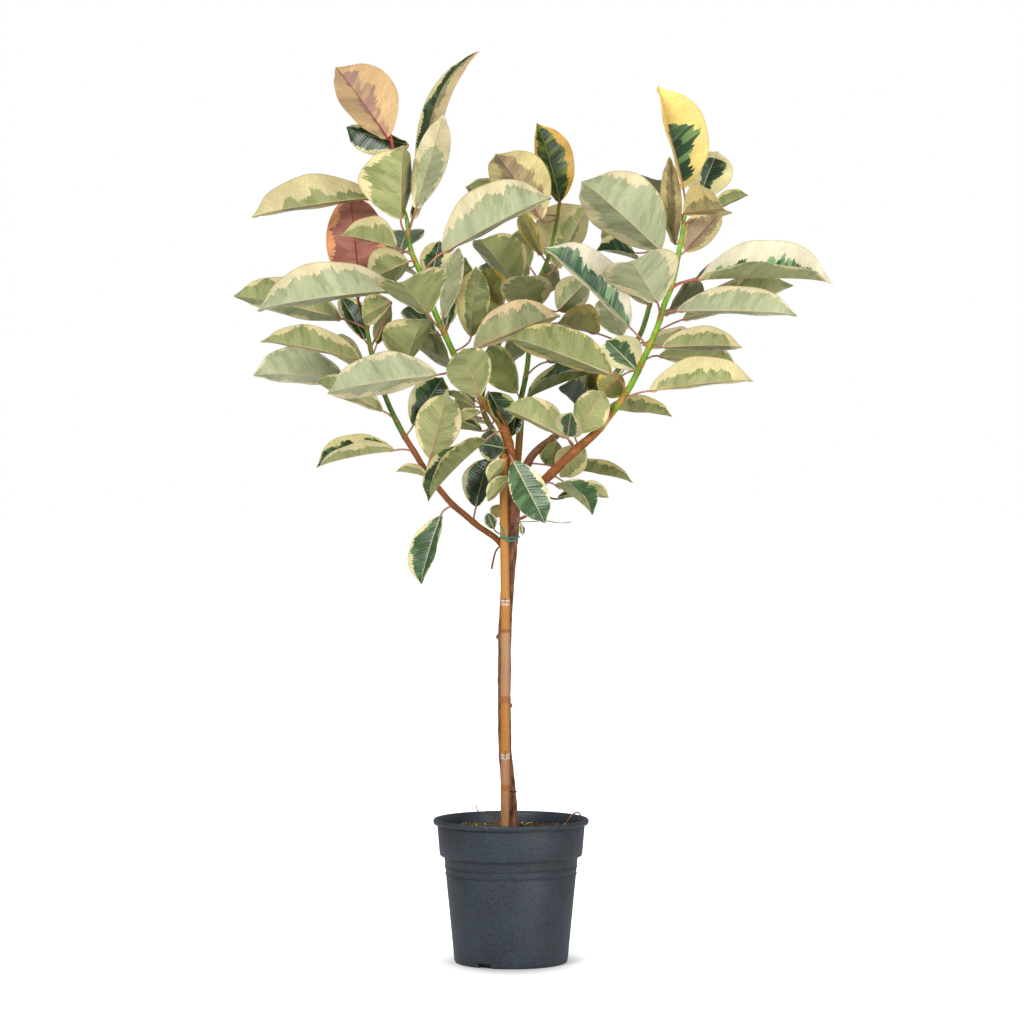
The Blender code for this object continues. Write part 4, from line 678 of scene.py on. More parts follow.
def stem_material():
    """Young fig stem: smooth waxy green skin that turns to thin ridged bark lower down."""
    material, tree, shader = new_material("fig_stem_skin", IOR=1.45)
    skin = add_node(tree, "ShaderNodeAttribute", attribute_name=COLOUR_LAYERS[4])
    wood = skin.outputs["Alpha"]
    spot = add_node(tree, "ShaderNodeTexCoord").outputs["Object"]
    grain = add_node(tree, "ShaderNodeTexNoise", [("Vector", spot), ("Scale", 320.0), ("Detail", 3.0)])
    blotch = add_node(tree, "ShaderNodeTexNoise", [("Vector", spot), ("Scale", 70.0)])
    mixed = add_node(tree, "ShaderNodeMath", [(0, grain.outputs["Fac"]), (1, blotch.outputs["Fac"])],
                     operation="ADD")
    value = add_node(tree, "ShaderNodeMapRange", [(0, mixed), (1, 0.7), (2, 1.3), (3, 0.6), (4, 1.35)])
    toned = add_node(tree, "ShaderNodeHueSaturation", [("Color", skin.outputs["Color"]), ("Value", value)])
    tree.links.new(toned.outputs[0], shader.inputs["Base Color"])
    rough = add_node(tree, "ShaderNodeMapRange", [(0, wood), (3, 0.42), (4, 0.8)])
    tree.links.new(rough.outputs[0], shader.inputs["Roughness"])
    lift = add_node(tree, "ShaderNodeMapRange", [(0, wood), (3, 0.15), (4, 0.8)])
    bump = add_node(tree, "ShaderNodeBump", [("Strength", lift), ("Distance", 0.0008),
                                             ("Height", grain.outputs["Fac"])])
    tree.links.new(bump.outputs[0], shader.inputs["Normal"])
    return material


def bark_material():
    """Old fig bark: matt, red-brown, cracked lengthwise, with paler lifted flakes."""
    material, tree, shader = new_material("fig_bark", Roughness=0.85)
    spot = add_node(tree, "ShaderNodeTexCoord").outputs["Object"]
    long_way = add_node(tree, "ShaderNodeMapping", [("Vector", spot), ("Scale", (1.0, 1.0, 0.22))])
    cracks = add_node(tree, "ShaderNodeTexNoise", [("Vector", long_way), ("Scale", 260.0), ("Detail", 5.0)])
    flakes = add_node(tree, "ShaderNodeTexNoise", [("Vector", long_way), ("Scale", 90.0), ("Detail", 2.0)])
    browns = add_node(tree, "ShaderNodeValToRGB", [(0, cracks.outputs["Fac"])],
                      stops=((0.34, "44271A"), (0.66, "A0694A")))
    pale = add_node(tree, "ShaderNodeMapRange", [(0, flakes.outputs["Fac"]), (1, 0.60), (2, 0.66),
                                                 (3, 0.0), (4, 0.5)])
    whole = add_node(tree, "ShaderNodeMix", [(0, pale), (6, browns.outputs[0]), (7, linear("B0845E"))],
                     data_type="RGBA")
    tree.links.new(whole.outputs[2], shader.inputs["Base Color"])
    bump = add_node(tree, "ShaderNodeBump", [("Strength", 0.9), ("Distance", 0.0012),
                                             ("Height", cracks.outputs["Fac"])])
    tree.links.new(bump.outputs[0], shader.inputs["Normal"])
    return material


def bamboo_material():
    """Dried bamboo cane: hard silky skin, fine lengthwise fibres, tan with orange at the nodes."""
    material, tree, shader = new_material("dried_bamboo", Roughness=0.5)
    spot = add_node(tree, "ShaderNodeTexCoord").outputs["Object"]
    height = add_node(tree, "ShaderNodeSeparateXYZ", [(0, spot)])
    fibres = add_node(tree, "ShaderNodeMapping", [("Vector", spot), ("Scale", (1.0, 1.0, 0.02))])
    lines = add_node(tree, "ShaderNodeTexNoise", [("Vector", fibres), ("Scale", 900.0), ("Detail", 3.0)])
    blur = add_node(tree, "ShaderNodeTexNoise", [("Vector", spot), ("Scale", 18.0)])
    shift = add_node(tree, "ShaderNodeMath", [(0, blur.outputs["Fac"]), (1, 0.006),
                                              (2, height.outputs["Z"])], operation="MULTIPLY_ADD")
    foot, head = CANE_BANDS[0][0], CANE_BANDS[-1][0]
    span = add_node(tree, "ShaderNodeMapRange", [(0, shift), (1, (GRID_GROUND_Y - foot) * GRID),
                                                 (2, (GRID_GROUND_Y - head) * GRID)])
    bands = add_node(tree, "ShaderNodeValToRGB", [(0, span)],
                     stops=[((foot - y) / (foot - head), colour) for y, colour in CANE_BANDS])
    streak = add_node(tree, "ShaderNodeMapRange", [(0, lines.outputs["Fac"]), (1, 0.3), (2, 0.7),
                                                   (3, 0.82), (4, 1.12)])
    toned = add_node(tree, "ShaderNodeHueSaturation", [("Color", bands.outputs[0]), ("Value", streak)])
    tree.links.new(toned.outputs[0], shader.inputs["Base Color"])
    bump = add_node(tree, "ShaderNodeBump", [("Strength", 0.3), ("Distance", 0.0004),
                                             ("Height", lines.outputs["Fac"])])
    tree.links.new(bump.outputs[0], shader.inputs["Normal"])
    return material


def plastic_material():
    """Injection-moulded recycled polypropylene: satin slate grey with a fine spark-eroded stipple."""
    material, tree, shader = new_material("moulded_polypropylene", Roughness=0.48, IOR=1.49)
    spot = add_node(tree, "ShaderNodeTexCoord").outputs["Object"]
    # The stipple's grains are about 1 mm across, drawn at 1.6 mm so that they show
    stipple = add_node(tree, "ShaderNodeTexNoise", [("Vector", spot), ("Scale", 620.0), ("Detail", 2.0)])
    cloud = add_node(tree, "ShaderNodeTexNoise", [("Vector", spot), ("Scale", 22.0), ("Detail", 3.0)])
    mixed = add_node(tree, "ShaderNodeMath", [(0, cloud.outputs["Fac"]), (1, 0.25),
                                              (2, stipple.outputs["Fac"])], operation="MULTIPLY_ADD")
    greys = add_node(tree, "ShaderNodeValToRGB", [(0, mixed)], stops=((0.45, "11161B"), (0.80, "34404B")))
    tree.links.new(greys.outputs[0], shader.inputs["Base Color"])
    bump = add_node(tree, "ShaderNodeBump", [("Strength", 0.6), ("Distance", 0.0006),
                                             ("Height", stipple.outputs["Fac"])])
    tree.links.new(bump.outputs[0], shader.inputs["Normal"])
    return material


def grainy_material(name, dark, pale, roughness, scale, lift):
    """A dull natural grain between two colours, for soil, moss, perlite, twine and coated wire."""
    material, tree, shader = new_material(name, Roughness=roughness)
    spot = add_node(tree, "ShaderNodeTexCoord").outputs["Object"]
    grain = add_node(tree, "ShaderNodeTexNoise", [("Vector", spot), ("Scale", scale), ("Detail", 4.0)])
    tones = add_node(tree, "ShaderNodeValToRGB", [(0, grain.outputs["Fac"])],
                     stops=((0.35, dark), (0.68, pale)))
    tree.links.new(tones.outputs[0], shader.inputs["Base Color"])
    bump = add_node(tree, "ShaderNodeBump", [("Strength", 0.7), ("Distance", lift),
                                             ("Height", grain.outputs["Fac"])])
    tree.links.new(bump.outputs[0], shader.inputs["Normal"])
    return material


def place(x, y, depth):
    """A point of the front view, carried along the sight line to its depth in cm."""
    flat = Vector(((x - GRID_AXIS_X) * GRID, 0.0, (GRID_GROUND_Y - y) * GRID))
    eye = Vector((0.0, -EYE_DISTANCE, EYE_HEIGHT))
    return eye + (flat - eye) * (EYE_DISTANCE + depth * CM) / EYE_DISTANCE


def mesh_object(name, mesh, *materials):
    """Puts a mesh into the scene as an object with its materials."""
    item = bpy.data.objects.new(name, mesh)
    bpy.context.scene.collection.objects.link(item)
    for material in materials:
        mesh.materials.append(material)
    return item


def shape_object(name, shape, *materials):
    """Turns a bmesh into a smooth-shaded object and frees it."""
    mesh = bpy.data.meshes.new(name)
    shape.to_mesh(mesh)
    shape.free()
    mesh.shade_smooth()
    mesh.set_sharp_from_angle(angle=math.radians(50.0))
    return mesh_object(name, mesh, *materials)


def settled(item):
    """Applies an object's modifiers and returns its mesh; the object is removed."""
    bpy.context.view_layer.update()
    evaluated = item.evaluated_get(bpy.context.evaluated_depsgraph_get())
    mesh = bpy.data.meshes.new_from_object(evaluated)
    bpy.data.objects.remove(item, do_unlink=True)
    return mesh


def flow(knots, step):
    """Knots (x, y, depth, radius) resampled on a smooth curve, about step metres apart."""
    samples = []
    for number in range(len(knots) - 1):
        four = [knots[min(max(number + shift, 0), len(knots) - 1)] for shift in (-1, 0, 1, 2)]
        length = (place(*four[2][:3]) - place(*four[1][:3])).length
        parts = max(1, round(length / step))
        for part in range(parts):
            t = part / parts
            weights = (0.5 * (-t + 2 * t * t - t ** 3), 0.5 * (2 - 5 * t * t + 3 * t ** 3),
                       0.5 * (t + 4 * t * t - 3 * t ** 3), 0.5 * (t ** 3 - t * t))
            spot = [sum(w * knot[axis] for w, knot in zip(weights, four)) for axis in range(3)]
            samples.append((*spot, four[1][3] + (four[2][3] - four[1][3]) * t))
    samples.append(tuple(knots[-1][:4]))
    return samples


def joined(name, parts, *materials):
    """Fuses finished bmeshes into one object and frees them."""
    whole = bmesh.new()
    for part in parts:
        mesh = bpy.data.meshes.new("part")
        part.to_mesh(mesh)
        part.free()
        whole.from_mesh(mesh)
        bpy.data.meshes.remove(mesh)
    return shape_object(name, whole, *materials)


def living_shape():
    """A bmesh with the attributes that the leaf and stem finishes read."""
    shape = bmesh.new()
    for name in PLACE_LAYERS:
        shape.verts.layers.float_vector.new(name)
    for name in COLOUR_LAYERS:
        shape.verts.layers.float_color.new(name)
    return shape


def sweep(points, radii, sides, slot=0, closed=False, tones=None):
    """A round rod along points with the given radii, filled at its ends, as a bmesh."""
    count = len(points)
    ways = []
    for number in range(count):
        ahead = points[(number + 1) % count] if closed else points[min(number + 1, count - 1)]
        behind = points[number - 1] if closed else points[max(number - 1, 0)]
        ways.append((ahead - behind).normalized())
    turn = Vector((0.0, 0.0, 1.0)).rotation_difference(ways[0]).to_matrix().to_4x4()
    frames = []
    for number in range(count):
        if number:
            turn = ways[number - 1].rotation_difference(ways[number]).to_matrix().to_4x4() @ turn
        frames.append(Matrix.Translation(points[number]) @ turn @ Matrix.Scale(radii[number], 4))
    shape = living_shape()
    stem = shape.verts.layers.float_color.get("stem_colour")
    ring = bmesh.ops.create_circle(shape, segments=sides, radius=1.0)["verts"]
    bmesh.ops.transform(shape, matrix=frames[0], verts=ring)
    first_edges = edges = list(shape.edges)
    for number in range(count):
        if number:
            grown = bmesh.ops.extrude_edge_only(shape, edges=edges)["geom"]
            ring = [part for part in grown if isinstance(part, bmesh.types.BMVert)]
            fresh = set(ring)
            edges = [part for part in grown if isinstance(part, bmesh.types.BMEdge)
                     and part.verts[0] in fresh and part.verts[1] in fresh]
            bmesh.ops.transform(shape, matrix=frames[number] @ frames[number - 1].inverted(), verts=ring)
        if tones:
            for vert in ring:
                vert[stem] = tones[number]
    if closed:
        bmesh.ops.bridge_loops(shape, edges=first_edges + edges)
    else:
        bmesh.ops.contextual_create(shape, geom=first_edges)
        bmesh.ops.contextual_create(shape, geom=edges)
    bmesh.ops.recalc_face_normals(shape, faces=shape.faces)
    for face in shape.faces:
        face.material_index = slot
    return shape


def grid_sweep(knots, sides, step, slot=0):
    """A rod along knots of the front view."""
    samples = flow(knots, step)
    points = [place(*sample[:3]) for sample in samples]
    return sweep(points, [sample[3] * MM for sample in samples], sides, slot)


def outline(u):
    """Half width of a blade at u, as a share of its greatest: blunt base, short drawn-out tip."""
    body = math.sin(math.pi * min(max(u, 0.0), 1.0) ** 1.06) ** 0.62
    step = min(max((u - 0.86) / 0.14, 0.0), 1.0)
    return body * (1.0 - 0.55 * step * step * (3.0 - 2.0 * step))


def blade_frame(leaf):
    """Base, tip, length, the direction of the upper half and of the upper face."""
    base = place(*leaf.base, leaf.depth[0])
    tip = place(*leaf.tip, leaf.depth[1])
    along = (tip - base).normalized()
    sight = Vector((0.0, 1.0, 0.0))
    side = along.cross(sight).normalized()
    if side.z < 0.0:
        side = -side
    away = (sight - along * sight.dot(along)).normalized()
    facing = away * -leaf.face
    lean = math.radians(leaf.lean)
    up = facing * math.cos(lean) + side * math.sin(lean)
    across = side * math.cos(lean) - facing * math.sin(lean)
    return base, tip, (tip - base).length, across, up


def blade_point(leaf, frame, u, v):
    """A point of the blade's middle surface: u runs base to tip, v from -1 to 1 across."""
    base, tip, length, across, up = frame
    half = max(0.5 * leaf.width * CM * outline(u), BLADE_END)
    bow = 4.0 * u * (1.0 - u)
    # The last fifth of a blade hangs a little
    droop = max(u - 0.78, 0.0) / 0.22
    phase = leaf.base[0] * 0.37 + leaf.tip[1] * 0.23
    ripple = WAVE_HEIGHT * math.sin(2.0 * math.pi * WAVES * u + phase + 1.9 * (v > 0.0)) * v * v
    flat_end = min(1.0, u / FLAT_END, (1.0 - u) / FLAT_END)
    fold = math.radians(leaf.fold) * (1.08 - 0.16 * abs(v)) * flat_end
    spine = base + (tip - base) * u + up * length * (leaf.arch * bow - 0.02 * droop * droop)
    spine += across * length * leaf.sway * 6.75 * u * u * (1.0 - u)
    return spine + across * (half * v * math.cos(fold)) + up * half * (abs(v) * math.sin(fold) + ripple)


def ramp(value, low, high):
    """0 below low, 1 above high, smooth between."""
    step = min(max((value - low) / (high - low), 0.0), 1.0)
    return step * step * (3.0 - 2.0 * step)


def painted_shade_and_tone(frame, seed):
    """Painted shade and random tone of a blade: what its red, green and blue are multiplied by."""
    middle = (frame[0] + frame[1]) * 0.5
    inward = Vector([(a - b) / reach for a, b, reach in zip(middle, HEART, HEART_REACH)]).length
    shaded_share = 1.0 - ramp(inward, *HEART_FADE)
    own = 1.0 + 0.07 * math.sin(12.9 * seed)
    return [own * (1.0 + (share - 1.0) * shaded_share) for share in HEART_SHADE]


def finish_shell(shape, shell, finish, shade_and_tone, lift):
    """Colours one side of a blade, half by half, and raises its midrib by lift."""
    place_layer, share_layer = [shape.verts.layers.float_vector.get(name) for name in PLACE_LAYERS]
    layers = [shape.verts.layers.float_color.get(name) for name in COLOUR_LAYERS[:4]]
    high, _, low = finish.partition("|")
    # The colours carry painted shade for leaves deep in the crown
    halves = [[[a * b for a, b in zip(linear(colour), shade_and_tone)] + [1.0] for colour in FINISH[name]]
              for name in (high, low or high)]
    for vert in shell:
        for layer, colour in zip(layers, halves[0 if vert[place_layer][0] > 0.0 else 1]):
            vert[layer] = colour
        off, u = abs(vert[place_layer][0]), vert[share_layer][2]
        if off < MIDRIB_REACH and 0.0 < u < 1.0:
            vert.co += lift * (1.0 - off / MIDRIB_REACH) * (1.0 - 0.75 * u)


def blade(leaf, frame, dress, seed):
    """A blade with a finish of its own on each side, a raised midrib and a closed rim."""
    up = frame[4]
    shape = living_shape()
    place_layer, share_layer = [shape.verts.layers.float_vector.get(name) for name in PLACE_LAYERS]
    columns = [-share for share in BLADE_COLUMNS[:0:-1]] + list(BLADE_COLUMNS)
    last = len(columns) - 1
    made = bmesh.ops.create_grid(shape, x_segments=last, y_segments=BLADE_ROWS, size=1.0)["verts"]
    for vert in made:
        v = columns[round((vert.co.x + 1.0) * 0.5 * last)]
        s = 0.5 + 0.5 * vert.co.y
        u = 0.5 * s + 0.25 * (1.0 - math.cos(math.pi * s))
        half = 0.5 * leaf.width * CM * outline(u)
        green = dress.high if v > 0.0 else dress.low
        green -= GREEN_GONE * ramp(u, dress.stop - 0.06, dress.stop + 0.08)
        green -= GREEN_GONE * ramp(-u, -dress.start - 0.05, -dress.start + 0.05)
        vert[place_layer] = (v * half, u * frame[2], seed)
        vert[share_layer] = (abs(v), green, u)
        vert.co = blade_point(leaf, frame, u, v)
    shape.normal_update()
    bmesh.ops.solidify(shape, geom=shape.verts[:] + shape.edges[:] + shape.faces[:],
                       thickness=BLADE_THICKNESS)
    bmesh.ops.recalc_face_normals(shape, faces=shape.faces)
    shape.normal_update()
    first = set(made)
    second = set(shape.verts) - first
    tilt = sum(face.normal.dot(up) for face in shape.faces if all(vert in first for vert in face.verts))
    upper, under = (first, second) if tilt > 0.0 else (second, first)
    for face in shape.faces:
        face.material_index = 0 if all(vert in upper for vert in face.verts) else 1
    # Painted shade: a leaf deep in the crown is coloured darker and more olive
    shade_and_tone = painted_shade_and_tone(frame, seed)
    finish_shell(shape, upper, dress.over, shade_and_tone, up * -MIDRIB_HEIGHT * MIDRIB_TOP_SHARE)
    finish_shell(shape, under, dress.under, shade_and_tone, up * -MIDRIB_HEIGHT)
    return shape


def nearest_on_stem(knots, x, y):
    """The point of a stem's middle line that lies nearest to a place of the front view."""
    best = None
    for first, second in zip(knots, knots[1:]):
        run = (second[0] - first[0], second[1] - first[1])
        share = ((x - first[0]) * run[0] + (y - first[1]) * run[1]) / (run[0] ** 2 + run[1] ** 2)
        share = min(max(share, 0.0), 1.0)
        spot = [a + (b - a) * share for a, b in zip(first, second)]
        gap = (spot[0] - x) ** 2 + (spot[1] - y) ** 2
        if best is None or gap < best[0]:
            best = (gap, spot)
    return place(*best[1][:3])


def stalk(leaf, frame, root, colour):
    """The stalk: leaves the stem, arrives along the blade and runs on as the midrib's thick end."""
    base, tip, _, _, up = frame
    along = (tip - base).normalized()
    reach = base - root
    turn = base - along * reach.length * (0.12 + 0.33 * max(reach.normalized().dot(along), 0.0))
    shares = [number / 9.0 for number in range(10)]
    points = [root * (1 - t) ** 2 + turn * 2 * t * (1 - t) + base * t * t for t in shares]
    points += [base + along * 4.0 * MM - up * 0.5 * MM, base + along * 11.0 * MM - up * 0.7 * MM]
    slender = min(1.0, 0.75 + leaf.width / 40.0) * PETIOLE_RADIUS
    radii = [slender * (1.35 - 0.35 * min(1.0, 4.5 * t)) for t in shares] + [slender * 0.75, slender * 0.35]
    return sweep(points, radii, 8, 2, tones=[colour] * len(points))


def skin_at(skins, y):
    """Colour of a stem at a height of the front view, with the share of wood as alpha."""
    if y >= skins[0][0]:
        return (*linear(skins[0][1])[:3], skins[0][2])
    for first, second in zip(skins, skins[1:]):
        if second[0] <= y <= first[0]:
            t = (first[0] - y) / (first[0] - second[0])
            low, high = linear(first[1]), linear(second[1])
            mixed = [a + (b - a) * t for a, b in zip(low[:3], high[:3])]
            return (*mixed, first[2] + (second[2] - first[2]) * t)
    return (*linear(skins[-1][1])[:3], skins[-1][2])


def leaf_parts(leaf, dress, root, stalk_colour, seed):
    """A blade and the stalk that carries it from its root on the stem."""
    frame = blade_frame(leaf)
    return [blade(leaf, frame, dress, seed), stalk(leaf, frame, root, (*linear(stalk_colour)[:3], 0.0))]


def leafy_stem(name, materials, seed):
    """One stem with its leaves, each blade on its stalk."""
    knots = STEMS[name]
    roots = [nearest_on_stem(knots, *leaf.root) for leaf in LEAVES[name]]
    samples = flow((TRUNK_STUBS[name][0],) + knots, 4.0 * MM)
    points = [place(*sample[:3]) for sample in samples]
    radii = []
    tones = []
    for sample, point in zip(samples, points):
        near = min((point - root).length for root in roots)
        radii.append(sample[3] * MM * (1.0 + SCAR_SWELL * max(0.0, 1.0 - near / SCAR_SWELL_REACH)))
        skin = skin_at(STEM_SKINS[name], sample[1])
        cork = 0.8 * max(0.0, 1.0 - near / SCAR_REACH) * (1.0 - skin[3])
        tones.append([a + (b - a) * cork for a, b in zip(skin[:3], linear(CORK))] + [skin[3]])
    parts = [sweep(points, radii, 16, 2, tones=tones)]
    for number, (leaf, dress) in enumerate(zip(LEAVES[name], DRESSES[name])):
        parts += leaf_parts(leaf, dress, roots[number], dress.stalk, seed + number * LEAF_SEED)
    return joined(name + "_foliage", parts, *materials)


def trunk(bark, materials):
    """Trunk, limb starts and knots melted into one skin, with cracked bark pushed into it."""
    parts = [grid_sweep(TRUNK, 24, 6.0 * MM)]
    for name, knots in TRUNK_STUBS.items():
        parts.append(grid_sweep(knots + (STEMS[name][0],), 16, 6.0 * MM))
    for x, y, depth, radius in TRUNK_KNOTS:
        knot = living_shape()
        bmesh.ops.create_icosphere(knot, subdivisions=3, radius=radius * MM,
                                   matrix=Matrix.Translation(place(x, y, depth)))
        parts.append(knot)
    core = joined("trunk_core", parts)
    melt = core.modifiers.new("Melt", "REMESH")
    melt.mode = "VOXEL"
    melt.voxel_size = TRUNK_VOXEL
    mesh = settled(core)
    skin = living_shape()
    skin.from_mesh(mesh)
    bmesh.ops.smooth_vert(skin, verts=skin.verts, factor=0.5,
                          use_axis_x=True, use_axis_y=True, use_axis_z=True)
    skin.normal_update()
    for vert in skin.verts:
        spot = Vector((vert.co.x * 150.0, vert.co.y * 150.0, vert.co.z * 34.0))
        crack = 1.0 - abs(noise.noise(spot)) * 2.0
        swell = noise.noise(vert.co * 45.0)
        vert.co += vert.normal * (BARK_SWELL * swell - CRACK_DEPTH * max(0.0, crack) ** 4)
    for face in skin.faces:
        face.material_index = 3
    parts = [skin] + [grid_sweep(knots, 8, 3.0 * MM, 3) for knots in TRUNK_TWIGS]
    for number, (leaf, dress) in enumerate(zip(TRUNK_LEAVES, TRUNK_DRESSES)):
        root = nearest_on_stem(TRUNK, *leaf.root)
        parts += leaf_parts(leaf, dress, root, TRUNK_STALK, TRUNK_SEED + number)
    return joined("trunk_with_bark", parts, *materials, bark)


def cane(material):
    """Bamboo cane with a double ring at each node and a cut top end."""
    samples = flow(CANE, 2.0 * MM)
    points = [place(*sample[:3]) for sample in samples]
    points[0] = Vector((points[1].x, points[1].y, points[0].z))
    shape = sweep(points, [sample[3] * MM for sample in samples], 40)
    return shape_object("bamboo_cane_skin", shape, material)


def pot_profile():
    """Outer side from the rim down, under the foot, and up the inner side."""
    slope = (BODY_TOP_RADIUS - BODY_FOOT_RADIUS) / COLLAR_FOOT

    def body_radius(height):
        """Radius of the tapered body's outside at a height."""
        return BODY_FOOT_RADIUS + slope * height

    rings = []
    for height in RING_STEPS:
        rings += [(body_radius(height + 1.4 * MM), height + 1.4 * MM),
                  (body_radius(height) + RING_HEIGHT, height + 0.6 * MM),
                  (body_radius(height) + RING_HEIGHT, height - 0.6 * MM),
                  (body_radius(height) - RING_GROOVE, height - 1.0 * MM),
                  (body_radius(height - 2.0 * MM), height - 2.0 * MM)]
    outer = [
        (RIM_RADIUS - 3.2 * MM, RIM_TOP), (RIM_RADIUS - 1.8 * MM, RIM_TOP - 0.4 * MM),
        (RIM_RADIUS - 0.7 * MM, RIM_TOP - 1.4 * MM), (RIM_RADIUS, RIM_TOP - 3.4 * MM),
        (RIM_RADIUS - 0.4 * MM, RIM_TOP - LIP_DEPTH + 1.6 * MM),
        (RIM_RADIUS - 1.2 * MM, RIM_TOP - LIP_DEPTH),
        (RIM_RADIUS - 2.6 * MM, RIM_TOP - LIP_DEPTH + 1.4 * MM),
        (COLLAR_TOP_RADIUS - 0.4 * MM, RIM_TOP - LIP_DEPTH + 1.6 * MM),
        (COLLAR_TOP_RADIUS - 0.6 * MM, RIM_TOP - LIP_DEPTH - 0.6 * MM),
        (COLLAR_TOP_RADIUS, RIM_TOP - LIP_DEPTH - 2.6 * MM),
        (COLLAR_FOOT_RADIUS + 0.4 * MM, COLLAR_FOOT + 4.0 * MM),
        (COLLAR_FOOT_RADIUS, COLLAR_FOOT + 1.6 * MM),
        (COLLAR_FOOT_RADIUS - 0.8 * MM, COLLAR_FOOT + 0.3 * MM),
        (COLLAR_FOOT_RADIUS - 2.2 * MM, COLLAR_FOOT),
        (body_radius(COLLAR_FOOT) + 0.1 * MM, COLLAR_FOOT + 1.6 * MM),
        (body_radius(COLLAR_FOOT) - 0.5 * MM, COLLAR_FOOT - 1.0 * MM),
        (body_radius(COLLAR_FOOT - 3.4 * MM), COLLAR_FOOT - 3.4 * MM),
    ] + rings + [
        (BODY_FOOT_RADIUS + 0.2 * MM, 7.0 * MM), (BODY_FOOT_RADIUS - 0.4 * MM, 3.2 * MM),
        (BODY_FOOT_RADIUS - 1.6 * MM, 1.0 * MM), (BODY_FOOT_RADIUS - 4.0 * MM, 0.0),
    ]
    under = [
        (FOOT_RING_RADIUS, 0.0), (FOOT_RING_RADIUS - 2.0 * MM, FLOOR_UNDERSIDE),
        (CENTRE_PAD_RADIUS + 2.0 * MM, FLOOR_UNDERSIDE), (CENTRE_PAD_RADIUS, 0.0), (0.0, 0.0),
    ]
    inner = [
        (0.0, FLOOR_TOP), (BODY_FOOT_RADIUS - WALL - 0.4 * MM, FLOOR_TOP),
        (body_radius(COLLAR_FOOT) - WALL, COLLAR_FOOT + 0.6 * MM),
        (COLLAR_FOOT_RADIUS - WALL - 2.0 * MM, COLLAR_FOOT + 4.5 * MM),
        (COLLAR_TOP_RADIUS - WALL, RIM_TOP - LIP_DEPTH - 3.0 * MM),
        (RIM_RADIUS - 6.4 * MM, RIM_TOP - 1.8 * MM), (RIM_RADIUS - 5.2 * MM, RIM_TOP - 0.5 * MM),
    ]
    return outer + under + inner


def turned(profile, sides, closed):
    """A bmesh turned round the Z axis from (radius, height) points."""
    shape = bmesh.new()
    knots = [shape.verts.new((radius, 0.0, height)) for radius, height in profile]
    edges = [shape.edges.new(pair) for pair in zip(knots, knots[1:])]
    if closed:
        edges.append(shape.edges.new((knots[-1], knots[0])))
    bmesh.ops.spin(shape, geom=knots + edges, axis=(0.0, 0.0, 1.0), cent=(0.0, 0.0, 0.0),
                   angle=2.0 * math.pi, steps=sides, use_merge=True)
    bmesh.ops.remove_doubles(shape, verts=shape.verts, dist=0.01 * MM)
    bmesh.ops.recalc_face_normals(shape, faces=shape.faces)
    return shape


def pot_cutters():
    """Blocks for the notches round the foot and rods for the drain holes."""
    cutters = bmesh.new()
    for number in range(NOTCH_COUNT):
        made = bmesh.ops.create_cube(cutters, size=1.0)["verts"]
        bmesh.ops.scale(cutters, verts=made, vec=(NOTCH_DEPTH, NOTCH_WIDTH, 2.0 * NOTCH_HEIGHT))
        bmesh.ops.translate(cutters, verts=made, vec=(BODY_FOOT_RADIUS, 0.0, 0.0))
        spin = Matrix.Rotation(NOTCH_TURN + 2.0 * math.pi * number / NOTCH_COUNT, 4, "Z")
        bmesh.ops.transform(cutters, matrix=spin, verts=made)
    for number in range(DRAIN_COUNT):
        angle = math.pi * (0.25 + 0.5 * number)
        made = bmesh.ops.create_cone(cutters, cap_ends=True, segments=32, radius1=DRAIN_RADIUS,
                                     radius2=DRAIN_RADIUS, depth=4.0 * FLOOR_TOP)["verts"]
        centre = (DRAIN_RING * math.cos(angle), DRAIN_RING * math.sin(angle), FLOOR_TOP)
        bmesh.ops.translate(cutters, verts=made, vec=centre)
    return cutters


def pot(material):
    """The moulded pot: rim, collar, two fine rings, notches round the foot and drain holes."""
    body = shape_object("pot_turned", turned(pot_profile(), POT_SIDES, True))
    tool = shape_object("pot_cutters", pot_cutters())
    cut = body.modifiers.new("Cut", "BOOLEAN")
    cut.operation = "DIFFERENCE"
    cut.object = tool
    cut.solver = "EXACT"
    mesh = settled(body)
    bpy.data.objects.remove(tool, do_unlink=True)
    mesh.name = "moulded_pot"
    mesh.shade_smooth()
    mesh.set_sharp_from_angle(angle=math.radians(32.0))
    return mesh_object("moulded_pot", mesh, material)


def soil_height(x, y):
    """Height of the soil: slightly heaped round the trunk, with lumps 15 mm and 4 mm across."""
    radius = math.hypot(x, y)
    heap = 2.5 * MM * max(0.0, 1.0 - radius / 0.1) - 1.0 * MM
    spot = Vector((x, y, 0.0))
    return SOIL_TOP + heap + 4.0 * MM * noise.noise(spot * 60.0) + 1.6 * MM * noise.noise(spot * 240.0)


def crumb(shape, number):
    """One crumb of soil, a mossy one on the left, or every so often a grain of perlite."""
    angle = number * GOLDEN_ANGLE
    radius = (SOIL_RADIUS - 2.0 * MM) * math.sqrt((number + 0.5) / CRUMBS)
    drift = Vector([noise.noise((number * 1.3, row, 0.5)) for row in (0.2, 5.2, 9.2)])
    x = radius * math.cos(angle) + drift.x * 4.0 * MM
    y = radius * math.sin(angle) + drift.y * 4.0 * MM
    mossy = x < -8.0 * MM and noise.noise((x * 30.0, y * 30.0, 2.0)) > -0.15
    size = (1.5 + 1.6 * abs(drift.z)) * MM
    squash = Matrix.Diagonal((1.0 + drift.x * 0.6, 1.0 + drift.y * 0.6, 0.7 + drift.z * 0.5, 1.0))
    tumble = Matrix.Rotation(number * 1.1, 4, drift.normalized())
    spot = Matrix.Translation((x, y, soil_height(x, y) + 0.3 * MM))
    made = bmesh.ops.create_icosphere(shape, subdivisions=1, radius=size, matrix=spot @ tumble @ squash)
    for face in {face for vert in made["verts"] for face in vert.link_faces}:
        face.material_index = 2 if number % PERLITE_EVERY == 7 else 1 if mossy else 0


